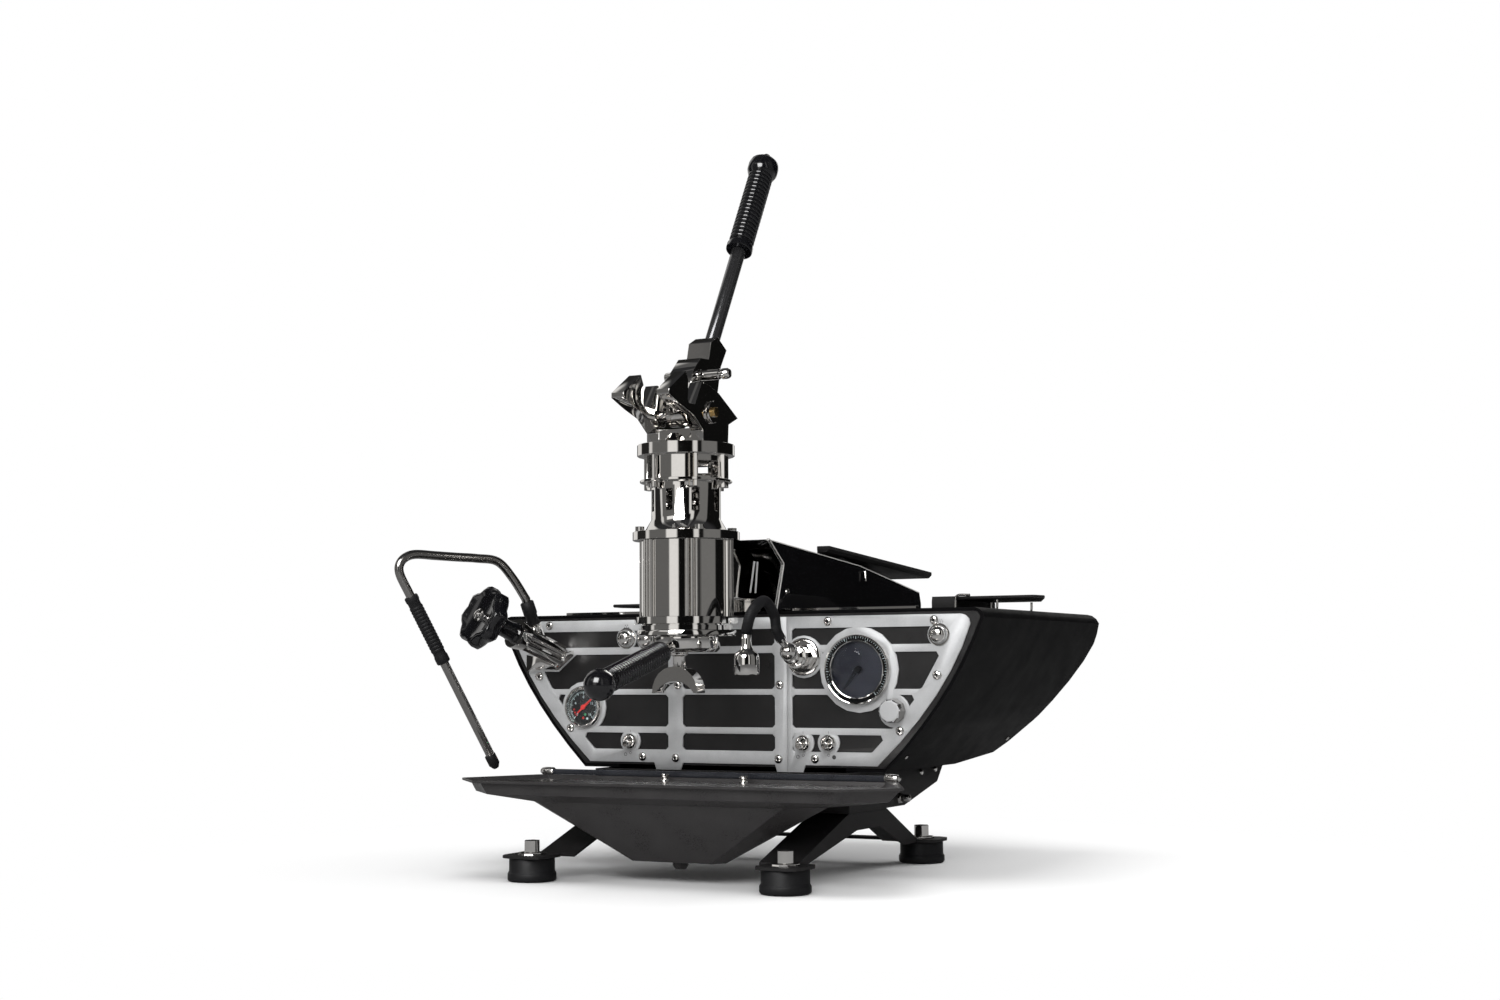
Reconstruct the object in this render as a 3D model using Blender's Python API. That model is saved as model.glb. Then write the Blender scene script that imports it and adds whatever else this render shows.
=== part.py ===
"""Lever espresso machine with one group, a steam wand and a hot water spout.

Metres, +Z up. The floor is Z = 0, X = 0 is the machine's middle plane and the front panel faces -Y.
"""
import math

import bmesh
import bpy
from mathutils import Matrix, Vector

GAP = 0.0003
OVERRUN = 0.004
PANEL_Y = -0.0555

# Hull of bent black sheet
SHEET = 0.003
HULL_TOP = 0.272
HULL_BOTTOM = 0.1067
HULL_HALF_TOP = 0.287
HULL_HALF_BOTTOM = 0.1785
HULL_BOW = 0.013
HULL_CORNER = 0.010
HULL_REAR_SHARES = ((0.390, 0.0), (0.745, 0.055), (0.792, 0.123), (0.881, 0.304), (0.948, 0.546),
                    (0.982, 0.685), (1.0, 0.794), (0.995, 0.867), (0.977, 0.939), (0.935, 1.0))
HULL_DEPTH = 0.385
HULL_FLANGE_TOP = 0.215
HULL_FLANGE_BOTTOM = 0.135

# Front panel: silver trim over a black fascia
TRIM_THICK = 0.002
TRIM_TOP = 0.2657
TRIM_BOTTOM = 0.1126
TRIM_INSET_TOP = 0.0136
TRIM_INSET_BOTTOM = 0.0078
TRIM_HALF_TOP = HULL_HALF_TOP - TRIM_INSET_TOP
TRIM_HALF_BOTTOM = HULL_HALF_BOTTOM - TRIM_INSET_BOTTOM
TRIM_BOW = 0.0135
TRIM_CORNER = 0.010
TRIM_BORDER = 0.0165
TRIM_SEAM_X = 0.0696
TAB_INNER_X = 0.055
TAB_OUTER_X = 0.090
TAB_BOTTOM = 0.1035
WINDOW_CORNER = 0.003
WINDOW_BANDS = ((0.236, 0.2536), (0.1908, 0.2283), (0.1507, 0.1848), (0.1263, 0.1439))
WINDOW_COLUMN_LEFT = -0.0725
WINDOW_COLUMN_MIDDLE = (-0.0549, 0.0553)
WINDOW_COLUMN_RIGHT = 0.0754
FASCIA_THICK = 0.005

# Dials and controls on the panel, as (x, z)
MAIN_GAUGE = (0.1516, 0.2105)
MAIN_GAUGE_R = 0.036
MAIN_GAUGE_PAD = 0.044
SMALL_GAUGE = (-0.1788, 0.1710)
SMALL_GAUGE_R = 0.0232
SMALL_GAUGE_PAD = 0.028
GAUGE_RIM = 0.0035
GAUGE_PROUD = 0.008
GAUGE_DEPTH = 0.030
DIAL_RECESS = 0.005
NEEDLE_THICK = 0.0012
TEMP_KNOB = (0.1903, 0.1687)
TEMP_KNOB_R = 0.013
TEMP_KNOB_PAD = 0.017
TEMP_KNOB_DEPTH = 0.013
TEMP_KNOB_SIDES = 10
BUTTON_RINSE = (-0.1246, 0.2457)
BUTTON_BREW = (-0.0988, 0.2438)
BUTTON_STEAM_INSET = 0.0333
BUTTON_STEAM_Z = 0.2451
BUTTON_STEAM = (TRIM_HALF_TOP - BUTTON_STEAM_INSET, BUTTON_STEAM_Z)
BUTTON_R = 0.0085
BUTTON_PAD = 0.0125
BUTTON_STROKE = 0.003
BUTTON_DOME = 0.006
TOGGLE_LEFT = (-0.1197, 0.1350)
TOGGLE_MID = (0.0877, 0.1353)
TOGGLE_RIGHT = (0.1168, 0.1357)
TOGGLE_NUT_R = 0.0085
TOGGLE_NUT = 0.005
TOGGLE_BORE = 0.0055
TOGGLE_LENGTH = 0.015
TOGGLE_BALL_R = 0.0036
TOGGLE_TIP_R = 0.0036
TOGGLE_TILT = math.radians(12)
SHAFT_R = 0.004
SCREW_R = 0.0038
SCREW_HEAD = 0.002
SCREW_SINK = 0.001
SCREW_SIDE_LEVELS = (0.2046, 0.1485)
SCREW_TOP_INSETS = ((1, 0.0385, 0.2598), (-1, 0.0492, 0.2608))
SCREW_SPOTS = ((0.1170, 0.2602), (-0.1046, 0.1186), (-0.0638, 0.1177), (0.0590, 0.1183),
               (0.1011, 0.1192), (-0.0610, 0.1950), (0.0610, 0.1950))

# Chassis pan under the hull
CHASSIS_HALF = 0.150
CHASSIS_DROP = 0.0405
CHASSIS_START = 0.025
CHASSIS_FLAT_END = 0.117
CHASSIS_SLOPE_END = 0.230

# Feet and legs
FOOT_X = 0.1431
FOOT_FRONT_REACH = 0.1567
FOOT_FRONT_Y = PANEL_Y - FOOT_FRONT_REACH
FOOT_REAR_REACH = 0.1786
FOOT_REAR_Y = PANEL_Y + FOOT_REAR_REACH
FOOT_R = 0.025
FOOT_GROOVE = 0.0015
FOOT_HEIGHT = 0.023
LEG_SHEET = 0.003
LEG_INNER_X = 0.105
LEG_OUTER_X = 0.147
LEG_BAND = 0.018
LEG_FRONT_TOP = 0.020
LEG_REAR_TOP = 0.075
LEG_OVERLAP_SHARE = 0.8
CROSS_STRIP = 0.016
FOOT_BOLT_R = 0.0085
FOOT_BOLT_HEIGHT = 0.012
FOOT_WASHER_R = 0.014
FOOT_WASHER = 0.002

# Drip tray, grate and splash bar
TRAY_RIM_Z = 0.0995
TRAY_TIP_X = 0.2527
TRAY_TIP_Y = -0.1808
TRAY_FRONT_X = 0.2066
TRAY_FRONT_Y = -0.2275
TRAY_REAR_X = 0.208
TRAY_REAR_Y = -0.0895
TRAY_SHEET = 0.0025
TRAY_LIP = 0.006
TRAY_WALL_SHARES = (0.935, 0.90)
TRAY_WALL_Z = 0.0858
FUNNEL_TOP_SHARES = (0.675, 0.74)
FUNNEL_TOP_Z = 0.0788
FUNNEL_BOTTOM_SHARES = (0.216, 0.28)
FUNNEL_BOTTOM_Z = 0.0205
FUNNEL_CENTRE_Y = -0.1600
DRAIN_R = 0.008
DRAIN_DROP = 0.008
GRATE_Z = 0.0930
GRATE_THICK = 0.003
GRATE_SLOT = 0.005
GRATE_SLOT_LENGTH = 0.022
GRATE_COLUMNS = 11
GRATE_ROWS = 4
GRATE_PITCH_X = 0.0330
GRATE_PITCH_Y = 0.0240
GRATE_KNOB_X = 0.0462
GRATE_KNOB_R = 0.0045
GRATE_KNOB_HEIGHT = 0.009
SPLASH_HALF = 0.208
SPLASH_DEPTH = 0.005
SPLASH_HEIGHT = 0.0055
SPLASH_CAP = 0.010

# Group on its vertical axis
GROUP_REACH = 0.0909
GROUP_Y = PANEL_Y - GROUP_REACH
GROUP_STEPS = 24
HEAD_BOTTOM = 0.245
HEAD_RING_R = 0.0478
HEAD_RING_TOP = 0.256
HEAD_GROOVE = 0.002
HEAD_PLATE_R = 0.0529
HEAD_PLATE_BOTTOM = 0.2574
HEAD_TOP = 0.2645
HEAD_CAVITY_R = 0.0420
HEAD_CAVITY_TOP = 0.2530
HEAD_LIP_R = 0.0372
HEAD_LIP = 0.0025
SCREEN_R = 0.033
SCREEN_THICK = 0.002
PISTON_BORE = 0.030
CYLINDER_R = 0.046
CYLINDER_TOP = 0.3426
FLUTE_HEIGHT = 0.0045
FLUTES = 3
FLUTE_PITCH = math.radians(5.6)
FLUTE_GROUPS = 6
FLUTE_FIRST = math.radians(36)
PLATE_R = 0.0547
PLATE_TOP = 0.3513
CONE_R = 0.0430
CONE_TOP = 0.364
HOUSING_R = 0.0355
UPPER_R = 0.0400
HOUSING_TOP = 0.4405
FLANGE_BOTTOM = 0.429
FLANGE_R = 0.050
SLOT_BOTTOM = 0.372
SLOT_TOP = 0.394
SLOT_WIDTH = 0.008
SLOTS = 8
RIB_BOTTOM = 0.3955
RIB_R = 0.0019
RIB_CIRCLE = 0.0436
RIB_RING_R = 0.0472
RIB_RING_LOW = 0.4018
RIB_RING = 0.0024
WINDOW_WIDTH = 0.026
GLAND_R = 0.0105
GLAND_WALL = 0.0020
GLAND_TOP = 0.4570
BOLT_CIRCLE = 0.049
BOLT_R = 0.0053
BOLT_HEIGHT = 0.005
NECK_HALF = 0.032
NECK_BOTTOM = 0.285
NECK_TOP = 0.335
NECK_REAR = 0.055
NECK_FOOT = 0.012

# Piston, rod, gland and spring
PISTON_R = 0.0292
PISTON_BOTTOM = 0.268
PISTON_SEAL = 0.0012
ROD_R = 0.008
ROD_TOP = 0.4340
SPRING_BOTTOM = 0.3000
SPRING_TOP = 0.4240
SPRING_R = 0.0240
SPRING_WIRE_R = 0.0035
SPRING_TURNS = 9
SPRING_POINTS = 9

# Lever fork, yoke, rod and grip; the outlines are shares of these from the pivot
PIVOT_REACH = 0.0964
PIVOT_Y = PANEL_Y - PIVOT_REACH
PIVOT_Z = 0.4723
CHEEK_INNER = 0.0190
CHEEK_OUTER = 0.0330
FORK_REACH = 0.0870
FORK_BASE = 0.005
FORK_ARCH_R = 0.0140
FORK_SHARES = ((-0.201, -0.229), (-0.422, -0.078), (-0.748, 0.011), (-1.0, 0.101), (-1.0, 0.159),
               (-0.606, 0.409), (-0.548, 0.303), (-0.564, 0.089), (-0.536, 0.048), (-0.398, 0.048),
               (-0.230, 0.330), (-0.083, 0.313), (0.180, 0.247), (0.660, -0.001), (0.426, -0.101),
               (0.411, -0.30))
PIN_R = 0.005
PIN_WASHER_R = 0.0115
PIN_WASHER = 0.0025
PIN_HEX_R = 0.0055
PIN_HEX = 0.003
YOKE_HALF = 0.0135
YOKE_HUB_R = 0.013
YOKE_REACH = 0.080
YOKE_FRONT_SHARES = ((-0.10, 0.345), (-0.054, 0.534), (0.167, 0.740), (0.385, 0.750), (0.449, 0.989))
YOKE_REAR_SHARES = ((0.715, 0.690), (0.629, 0.355), (0.30, 0.05))
YOKE_SEAT = 0.0115
STOP_PIN_R = 0.0057
STOP_PIN_LEFT = 0.027
STOP_PIN_RIGHT = 0.048
STOP_PIN_REACH = 0.0837
STOP_PIN_Y = PANEL_Y - STOP_PIN_REACH
STOP_PIN_Z = 0.5130
LEVER_LEAN = math.radians(29.7)
LEVER_BASE_REACH = 0.0360
LEVER_BASE_Y = PANEL_Y - LEVER_BASE_REACH
LEVER_BASE_Z = 0.553
LEVER_ROD_R = 0.008
LEVER_ROD_LENGTH = 0.1290
GRIP_LENGTH = 0.1310
GRIP_R = 0.0125
GRIP_RIB = 0.0014
GRIP_RIBS = 14
GRIP_COLLAR_R = 0.0145
GRIP_HEAD_R = 0.0170
GRIP_SCREW_R = 0.0065
GRIP_SCREW_HEIGHT = 0.010

# Portafilter
LOCK_TURN = math.radians(50)
FILTER_R = 0.0345
FILTER_BOTTOM = 0.2290
FILTER_RIM_TOP = 0.2490
FILTER_RIM_R = 0.0366
FILTER_WALL = 0.003
LUG_REACH = 0.0400
LUG_HALF = 0.008
LUG_THICK = 0.0012
BASKET_WALL = 0.0008
BASKET_DEPTH = 0.0140
BASKET_TAPER = 0.0015
HANDLE_START = 0.0500
HANDLE_START_Z = 0.2290
HANDLE_BALL = 0.1677
HANDLE_BALL_Z = 0.1977
HANDLE_NECK_R = 0.0070
HANDLE_R = 0.0112
HANDLE_RIB = 0.0010
HANDLE_RIBS = 16
BALL_R = 0.0155
SPOUT_TOP = 0.2150
SPOUT_ARCH = 0.2000
SPOUT_TIP = 0.1880
SPOUT_HALF = 0.0260
SPOUT_LIP = 0.0040
SPOUT_DEPTH = 0.0170
SPOUT_OFFSET = 0.0170
SPOUT_STEM_R = 0.0065

# Steam valve, knob and wand; the wand lies in an upright plane at its heading
VALVE_X = -0.2020
VALVE_Z = 0.2230
VALVE_BASE = 0.050
VALVE_FOOT = 0.015
VALVE_R = 0.0130
VALVE_FLUTE = 0.0016
VALVE_FLUTES = 12
VALVE_BODY_END = 0.067
VALVE_COLLAR_R = 0.0165
VALVE_COLLAR = 0.010
KNOB_OUT = 0.0380
KNOB_X = VALVE_X - KNOB_OUT
KNOB_REACH = 0.1040
KNOB_Y = PANEL_Y - KNOB_REACH
KNOB_Z = 0.2680
KNOB_R = 0.0325
KNOB_LOBE = 0.0025
KNOB_LOBES = 8
KNOB_DEPTH = 0.020
KNOB_NECK_R = 0.0100
BOSS_PLACE = 0.038
BOSS_R = 0.0082
BOSS_LENGTH = 0.0265
COLLAR_R = 0.0075
COLLAR_LENGTH = 0.0255
WAND_HEADING = math.radians(27)
WAND_FOOT_OUT = 0.0140
WAND_FOOT_X = VALVE_X - WAND_FOOT_OUT
WAND_FOOT_REACH = 0.0370
WAND_FOOT_Y = PANEL_Y - WAND_FOOT_REACH
WAND_R = 0.0048
WAND_REACH = 0.1670
WAND_FOOT_Z = 0.2900
WAND_RISE = 0.0440
WAND_SHARES = ((0.097, 0.0), (0.194, 0.50), (0.303, 0.886), (0.45, 0.950), (0.60, 0.966),
               (0.75, 0.985), (0.891, 1.0), (0.964, 0.909), (1.0, 0.727), (0.994, 0.500),
               (0.945, 0.159), (0.921, 0.0))
WAND_LEAN = math.radians(29.5)
WAND_DROP = 0.1930
WAND_GRIP_LENGTH = 0.0800
WAND_GRIP_R = 0.0066
WAND_GRIP_RIB = 0.0009
WAND_GRIP_RIBS = 12
WAND_TIP_R = 0.0060
WAND_TIP_LENGTH = 0.0160

# Hot water spout
SPOUT_X = 0.0890
SPOUT_Z = 0.2240
FITTING_PAD = 0.022
FITTING_R = 0.0195
FITTING_FLANGE = 0.003
FITTING_NECK_R = 0.0120
FITTING_DEPTH = 0.012
FITTING_REACH = 0.0360
FITTING_BALL_R = 0.0095
FITTING_BALL_RISE = 0.005
HOSE_R = 0.0055
HOSE_REACH = 0.0936
HOSE_RISE = 0.0504
HOSE_SHARES = ((0.287, 0.395), (0.357, 0.734), (0.592, 1.0), (0.871, 0.772), (0.987, 0.456))
NOZZLE_TOP = 0.2350
NOZZLE_SHOULDER = 0.2220
NOZZLE_BOTTOM = 0.2060
NOZZLE_TOP_R = 0.0050
NOZZLE_R = 0.0125
NOZZLE_WALL = 0.003

# Spine cowl, cup shelf and cup wings; depths run back from the panel
COWL_HALF = 0.062
COWL_HEIGHT = 0.0735
COWL_LENGTH = 0.382
COWL_SHARES = ((-0.026, 0.0), (0.021, 0.667), (-0.068, 1.0), (0.529, 0.762), (0.987, 0.422), (1.0, 0.24))
COWL_BOLT_Y = 0.015
COWL_BOLT_Z = 0.2925
SHELF_TIP_Y = 0.236
SHELF_TIP_HALF = 0.008
SHELF_TIP_Z = 0.3546
SHELF_REAR_Y = 0.385
SHELF_REAR_HALF = 0.0756
SHELF_REAR_Z = 0.3276
SHELF_THICK = 0.0075
SHELF_POST_HALF = 0.012
SHELF_POST_FRONT = 0.262
SHELF_POST_REAR = 0.350
WING_BLOCK_X = 0.149
WING_INNER = 0.176
WING_OUTER = 0.272
WING_FRONT_Y = 0.205
WING_REAR_Y = 0.330
WING_TOP_Z = 0.291
WING_THICK = 0.004
WING_BRACKET_X = 0.222
WING_BRACKET_WIDTH = 0.010
WING_BRACKET_DEPTH = 0.012
STRIP_FRONT_Y = 0.010
STRIP_REAR_Y = 0.020
STRIP_INNER = 0.068
STRIP_OUTER = 0.210
STRIP_HEIGHT = 0.003

# Inside the hull
BOILER_R = 0.052
BOILER_HALF = 0.120
BOILER_Y = 0.100
BOILER_RISE = 0.110
SADDLE_X = 0.070
SADDLE_HALF = 0.010
PUMP_R = 0.017
PUMP_HALF = 0.055
PUMP_Y = 0.012


def clear_scene():
    """Start from an empty scene."""
    for item in list(bpy.data.objects):
        bpy.data.objects.remove(item, do_unlink=True)


def material(name, colour, roughness, metallic=0.0):
    """Principled material, made once for each name."""
    made = bpy.data.materials.get(name) or bpy.data.materials.new(name)
    made.use_nodes = True
    shader = made.node_tree.nodes["Principled BSDF"]
    shader.inputs["Base Color"].default_value = (*colour, 1.0)
    shader.inputs["Roughness"].default_value = roughness
    shader.inputs["Metallic"].default_value = metallic
    made.diffuse_color = (*colour, 1.0)
    return made


def chrome():
    return material("chrome", (0.82, 0.81, 0.79), 0.08, 1.0)


def black_sheet():
    return material("black_sheet", (0.012, 0.012, 0.013), 0.55)


def polished_black():
    return material("polished_black", (0.008, 0.008, 0.009), 0.12, 0.3)


def silver_trim():
    return material("silver_trim", (0.55, 0.56, 0.56), 0.42, 0.8)


def fascia_black():
    return material("fascia_black", (0.035, 0.035, 0.037), 0.5)


def tray_grey():
    return material("tray_grey", (0.03, 0.031, 0.033), 0.5, 0.3)


def black_plastic():
    return material("black_plastic", (0.01, 0.01, 0.011), 0.2)


def black_rubber():
    return material("black_rubber", (0.014, 0.014, 0.015), 0.7)


def brass():
    return material("brass", (0.62, 0.45, 0.22), 0.25, 1.0)


def steel():
    return material("steel", (0.5, 0.5, 0.5), 0.3, 1.0)


def red_needle():
    return material("red_needle", (0.6, 0.02, 0.02), 0.4)


def solid(name, points, faces, smooth=30):
    """Object from closed faces, turned to face out and smooth on its round parts."""
    mesh = bpy.data.meshes.new(name)
    shape = bmesh.new()
    made = [shape.verts.new(point) for point in points]
    for face in faces:
        shape.faces.new([made[index] for index in face])
    bmesh.ops.recalc_face_normals(shape, faces=shape.faces)
    shape.to_mesh(mesh)
    shape.free()
    mesh.shade_smooth()
    mesh.set_sharp_from_angle(angle=math.radians(smooth))
    item = bpy.data.objects.new(name, mesh)
    bpy.context.scene.collection.objects.link(item)
    return item


def named(item, name, look, origin=(0, 0, 0)):
    """Give a piece its name, its material and the place of its own origin."""
    item.name = name
    item.data.name = name
    item.data.materials.clear()
    item.data.materials.append(look)
    shift = Vector(origin) - item.location
    if shift.length > 0:
        item.data.transform(Matrix.Translation(-shift))
        item.location = Vector(origin)
    return item


def change(item, tool, how):
    """Boolean on item by a hidden tool."""
    tool.hide_render = True
    tool.display_type = "WIRE"
    step = item.modifiers.new(how.lower(), "BOOLEAN")
    step.operation = how
    step.solver = "EXACT"
    step.object = tool
    return item


def cut(item, *tools):
    for tool in tools:
        change(item, tool, "DIFFERENCE")
    return item


def join(item, *tools):
    for tool in tools:
        change(item, tool, "UNION")
    return item


def gather(items):
    """One object from several that don't touch."""
    points = []
    faces = []
    for item in items:
        start = len(points)
        points += [item.matrix_world @ vertex.co for vertex in item.data.vertices]
        faces += [[start + index for index in face.vertices] for face in item.data.polygons]
        bpy.data.objects.remove(item, do_unlink=True)
    return solid("gathered", points, faces)


def loft(rings, closed=False):
    """Solid through rings of like counts, capped at both ends or closed on itself."""
    count = len(rings[0])
    points = [point for ring in rings for point in ring]
    faces = []
    spans = len(rings) if closed else len(rings) - 1
    for row in range(spans):
        low = row * count
        high = (row + 1) % len(rings) * count
        for index in range(count):
            after = (index + 1) % count
            faces.append((low + index, low + after, high + after, high + index))
    if not closed:
        faces.append(tuple(range(count)))
        faces.append(tuple(range(len(points) - count, len(points))))
    return solid("loft", points, faces)


def prism(outline, low, high, axis="Z"):
    """Outline extruded along an axis: (x, y) along Z, (x, z) along Y or (y, z) along X."""
    def place(first, second, along):
        if axis == "Z":
            return Vector((first, second, along))
        if axis == "Y":
            return Vector((first, along, second))
        return Vector((along, first, second))
    return loft([[place(*point, along) for point in outline] for along in (low, high)])


def basis(direction):
    """Two unit vectors square to a direction."""
    along = Vector(direction).normalized()
    guide = Vector((0, 0, 1)) if abs(along.z) < 0.9 else Vector((1, 0, 0))
    side = guide.cross(along).normalized()
    return side, along.cross(side)


def turned(profile, centre=(0, 0, 0), direction=(0, 0, 1), steps=24, closed=False):
    """Solid turned about a line: profile of (radius, height), ends on the line where radius is 0."""
    side, up = basis(direction)
    along = Vector(direction).normalized()
    centre = Vector(centre)
    points = []
    rings = []
    for radius, height in profile:
        start = len(points)
        if radius == 0:
            points.append(centre + along * height)
            rings.append([start] * steps)
            continue
        for step in range(steps):
            angle = 2 * math.pi * step / steps
            arm = side * math.cos(angle) + up * math.sin(angle)
            points.append(centre + arm * radius + along * height)
        rings.append(list(range(start, start + steps)))
    pairs = list(zip(rings, rings[1:]))
    if closed:
        pairs.append((rings[-1], rings[0]))
    faces = []
    for lower, upper in pairs:
        for step in range(steps):
            after = (step + 1) % steps
            corner = [lower[step], lower[after], upper[after], upper[step]]
            face = list(dict.fromkeys(corner))
            if len(face) > 2:
                faces.append(face)
    if not closed:
        faces += [ring for ring in (rings[0], rings[-1]) if ring[0] != ring[1]]
    return solid("turned", points, faces)


def sweep(path, radii, sides=10):
    """Round bar along a path, with a radius at each of its points."""
    path = [Vector(point) for point in path]
    aims = []
    for index in range(len(path)):
        ahead = path[min(index + 1, len(path) - 1)]
        behind = path[max(index - 1, 0)]
        aims.append((ahead - behind).normalized())
    side, up = basis(aims[0])
    rings = []
    for point, aim, radius in zip(path, aims, radii):
        side = (side - aim * side.dot(aim)).normalized()
        up = aim.cross(side)
        ring = []
        for step in range(sides):
            angle = 2 * math.pi * step / sides
            ring.append(point + (side * math.cos(angle) + up * math.sin(angle)) * radius)
        rings.append(ring)
    return loft(rings)


def smooth_path(points, steps):
    """Even points along a curve that passes through the given ones."""
    knots = [Vector(point) for point in points]
    knots = [knots[0] * 2 - knots[1]] + knots + [knots[-1] * 2 - knots[-2]]
    made = []
    for index in range(1, len(knots) - 2):
        before, start, end, after = knots[index - 1:index + 3]
        for step in range(steps):
            share = step / steps
            made.append(0.5 * (2 * start + (end - before) * share
                               + (2 * before - 5 * start + 4 * end - after) * share ** 2
                               + (3 * start - before - 3 * end + after) * share ** 3))
    made.append(knots[-2])
    return made


def hexagon(radius, centre=(0, 0), turn=0.0):
    return [(centre[0] + radius * math.cos(turn + math.pi * step / 3),
             centre[1] + radius * math.sin(turn + math.pi * step / 3)) for step in range(6)]


def rounded(corners, radius, steps=3):
    """Outline with an arc at each corner."""
    made = []
    count = len(corners)
    for index in range(count):
        here = Vector(corners[index])
        before = (Vector(corners[index - 1]) - here).normalized()
        after = (Vector(corners[(index + 1) % count]) - here).normalized()
        half = before.angle(after) / 2
        reach = radius / math.tan(half)
        centre = here + (before + after).normalized() * radius / math.sin(half)
        first = here + before * reach - centre
        turn = math.pi - 2 * half
        way = 1 if first.cross(here + after * reach - centre) > 0 else -1
        for step in range(steps + 1):
            angle = way * turn * step / steps
            made.append((centre.x + first.x * math.cos(angle) - first.y * math.sin(angle),
                         centre.y + first.x * math.sin(angle) + first.y * math.cos(angle)))
    return made


def box(low, high):
    """Box between two corners."""
    outline = [(low[0], low[1]), (high[0], low[1]), (high[0], high[1]), (low[0], high[1])]
    return prism(outline, low[2], high[2])


def bowed(z, low, high, half_low, half_high, bow):
    """Half-width at a height, of a side that leans out and bows."""
    share = (z - low) / (high - low)
    return half_low + (half_high - half_low) * share + bow * 4 * share * (1 - share)


def hull_half(z, inset=0.0):
    slope = math.hypot(HULL_HALF_TOP - HULL_HALF_BOTTOM, HULL_TOP - HULL_BOTTOM) / (HULL_TOP - HULL_BOTTOM)
    top = HULL_TOP - HULL_CORNER
    return bowed(z, HULL_BOTTOM, top, HULL_HALF_BOTTOM, HULL_HALF_TOP, HULL_BOW) - inset * slope


def trim_half(z, inset=0.0):
    rise = TRIM_TOP - TRIM_BOTTOM
    slope = math.hypot(TRIM_HALF_TOP - TRIM_HALF_BOTTOM, rise) / rise
    top = TRIM_TOP - TRIM_CORNER
    return bowed(z, TRIM_BOTTOM, top, TRIM_HALF_BOTTOM, TRIM_HALF_TOP, TRIM_BOW) - inset * slope


def levels(low, high, count):
    return [low + (high - low) * step / count for step in range(count + 1)]


def corner_arc(centre, radius, first, last, steps=3):
    """Arc points between two angles in degrees."""
    made = []
    for step in range(steps + 1):
        angle = math.radians(first + (last - first) * step / steps)
        made.append((centre[0] + radius * math.cos(angle), centre[1] + radius * math.sin(angle)))
    return made


def hull_section(inset, high, low, steps=7):
    """Right half of the hull's cross-section, from the bottom up to the top corner."""
    side = [(hull_half(z, inset), z) for z in levels(low, HULL_TOP - HULL_CORNER, steps)]
    radius = HULL_CORNER - inset
    centre = (HULL_HALF_TOP - HULL_CORNER, HULL_TOP - HULL_CORNER)
    return side[:-1] + corner_arc(centre, radius, 0, 90) if high >= HULL_TOP - inset else side


def mirrored(outline):
    return [(-x, z) for x, z in reversed(outline)]


def hull_profile(inset=0.0):
    """Side profile (y, z) of the hull: flat below and at the front, round at the rear."""
    rise = HULL_TOP - HULL_BOTTOM
    rear = [(PANEL_Y + HULL_DEPTH * along - inset, HULL_BOTTOM + rise * up)
            for along, up in HULL_REAR_SHARES]
    return [(PANEL_Y, HULL_BOTTOM)] + rear + [(PANEL_Y, HULL_TOP)]


def hull_side(name, sign):
    """Side shell: one bent sheet with a flange above and one below."""
    outer = hull_section(0.0, HULL_TOP, HULL_BOTTOM)
    inner = hull_section(SHEET, HULL_TOP, HULL_BOTTOM + SHEET)
    top = [(HULL_FLANGE_TOP, HULL_TOP), (HULL_FLANGE_TOP, HULL_TOP - SHEET)]
    bottom = [(HULL_FLANGE_BOTTOM, HULL_BOTTOM + SHEET), (HULL_FLANGE_BOTTOM, HULL_BOTTOM)]
    outline = outer + top + list(reversed(inner)) + bottom
    if sign < 0:
        outline = mirrored(outline)
    shell = prism(outline, PANEL_Y, PANEL_Y + HULL_DEPTH + OVERRUN, "Y")
    reach = HULL_HALF_TOP + OVERRUN
    profile = [(y, z) for y, z in hull_profile()]
    profile[0] = (PANEL_Y - OVERRUN, HULL_BOTTOM - OVERRUN)
    profile[1] = (profile[1][0], HULL_BOTTOM - OVERRUN)
    profile[-2] = (profile[-2][0], HULL_TOP + OVERRUN)
    profile[-1] = (PANEL_Y - OVERRUN, HULL_TOP + OVERRUN)
    change(shell, prism(profile, -reach, reach, "X"), "INTERSECT")
    return named(shell, name, black_sheet())


def rear_cover():
    """Rounded cover between the side shells, with a flange that meets the deck."""
    outer = hull_profile()[2:-1]
    inner = [(y - SHEET, z) for y, z in outer]
    plate = prism(outer + list(reversed(inner)), -HULL_HALF_TOP, HULL_HALF_TOP, "X")
    inset = SHEET + GAP
    top = HULL_TOP - inset
    half = hull_section(inset, HULL_TOP, HULL_BOTTOM + inset)
    half[-1] = (half[-1][0], top)
    change(plate, prism(half + mirrored(half), PANEL_Y, PANEL_Y + HULL_DEPTH + OVERRUN, "Y"), "INTERSECT")
    return named(plate, "rear_cover", black_sheet())


def deck_end():
    """Rear edge of the flat top."""
    return PANEL_Y + HULL_DEPTH * HULL_REAR_SHARES[-1][0]


def top_deck():
    """Flat top between the flanges of the side shells, with a strip on each side of the cowl."""
    half = HULL_FLANGE_TOP - GAP
    plate = box((-half, PANEL_Y, HULL_TOP - SHEET), (half, deck_end(), HULL_TOP))
    for sign in (-1, 1):
        sides = sorted((sign * STRIP_INNER, sign * STRIP_OUTER))
        join(plate, box((sides[0], PANEL_Y + STRIP_FRONT_Y, HULL_TOP - SHEET / 2),
                        (sides[1], PANEL_Y + STRIP_REAR_Y, HULL_TOP + STRIP_HEIGHT)))
    return named(plate, "top_deck", black_sheet())


def around(radius, steps):
    """Corner radius of a many-sided hole whose flats clear a radius."""
    return radius / math.cos(math.pi / steps)


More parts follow.
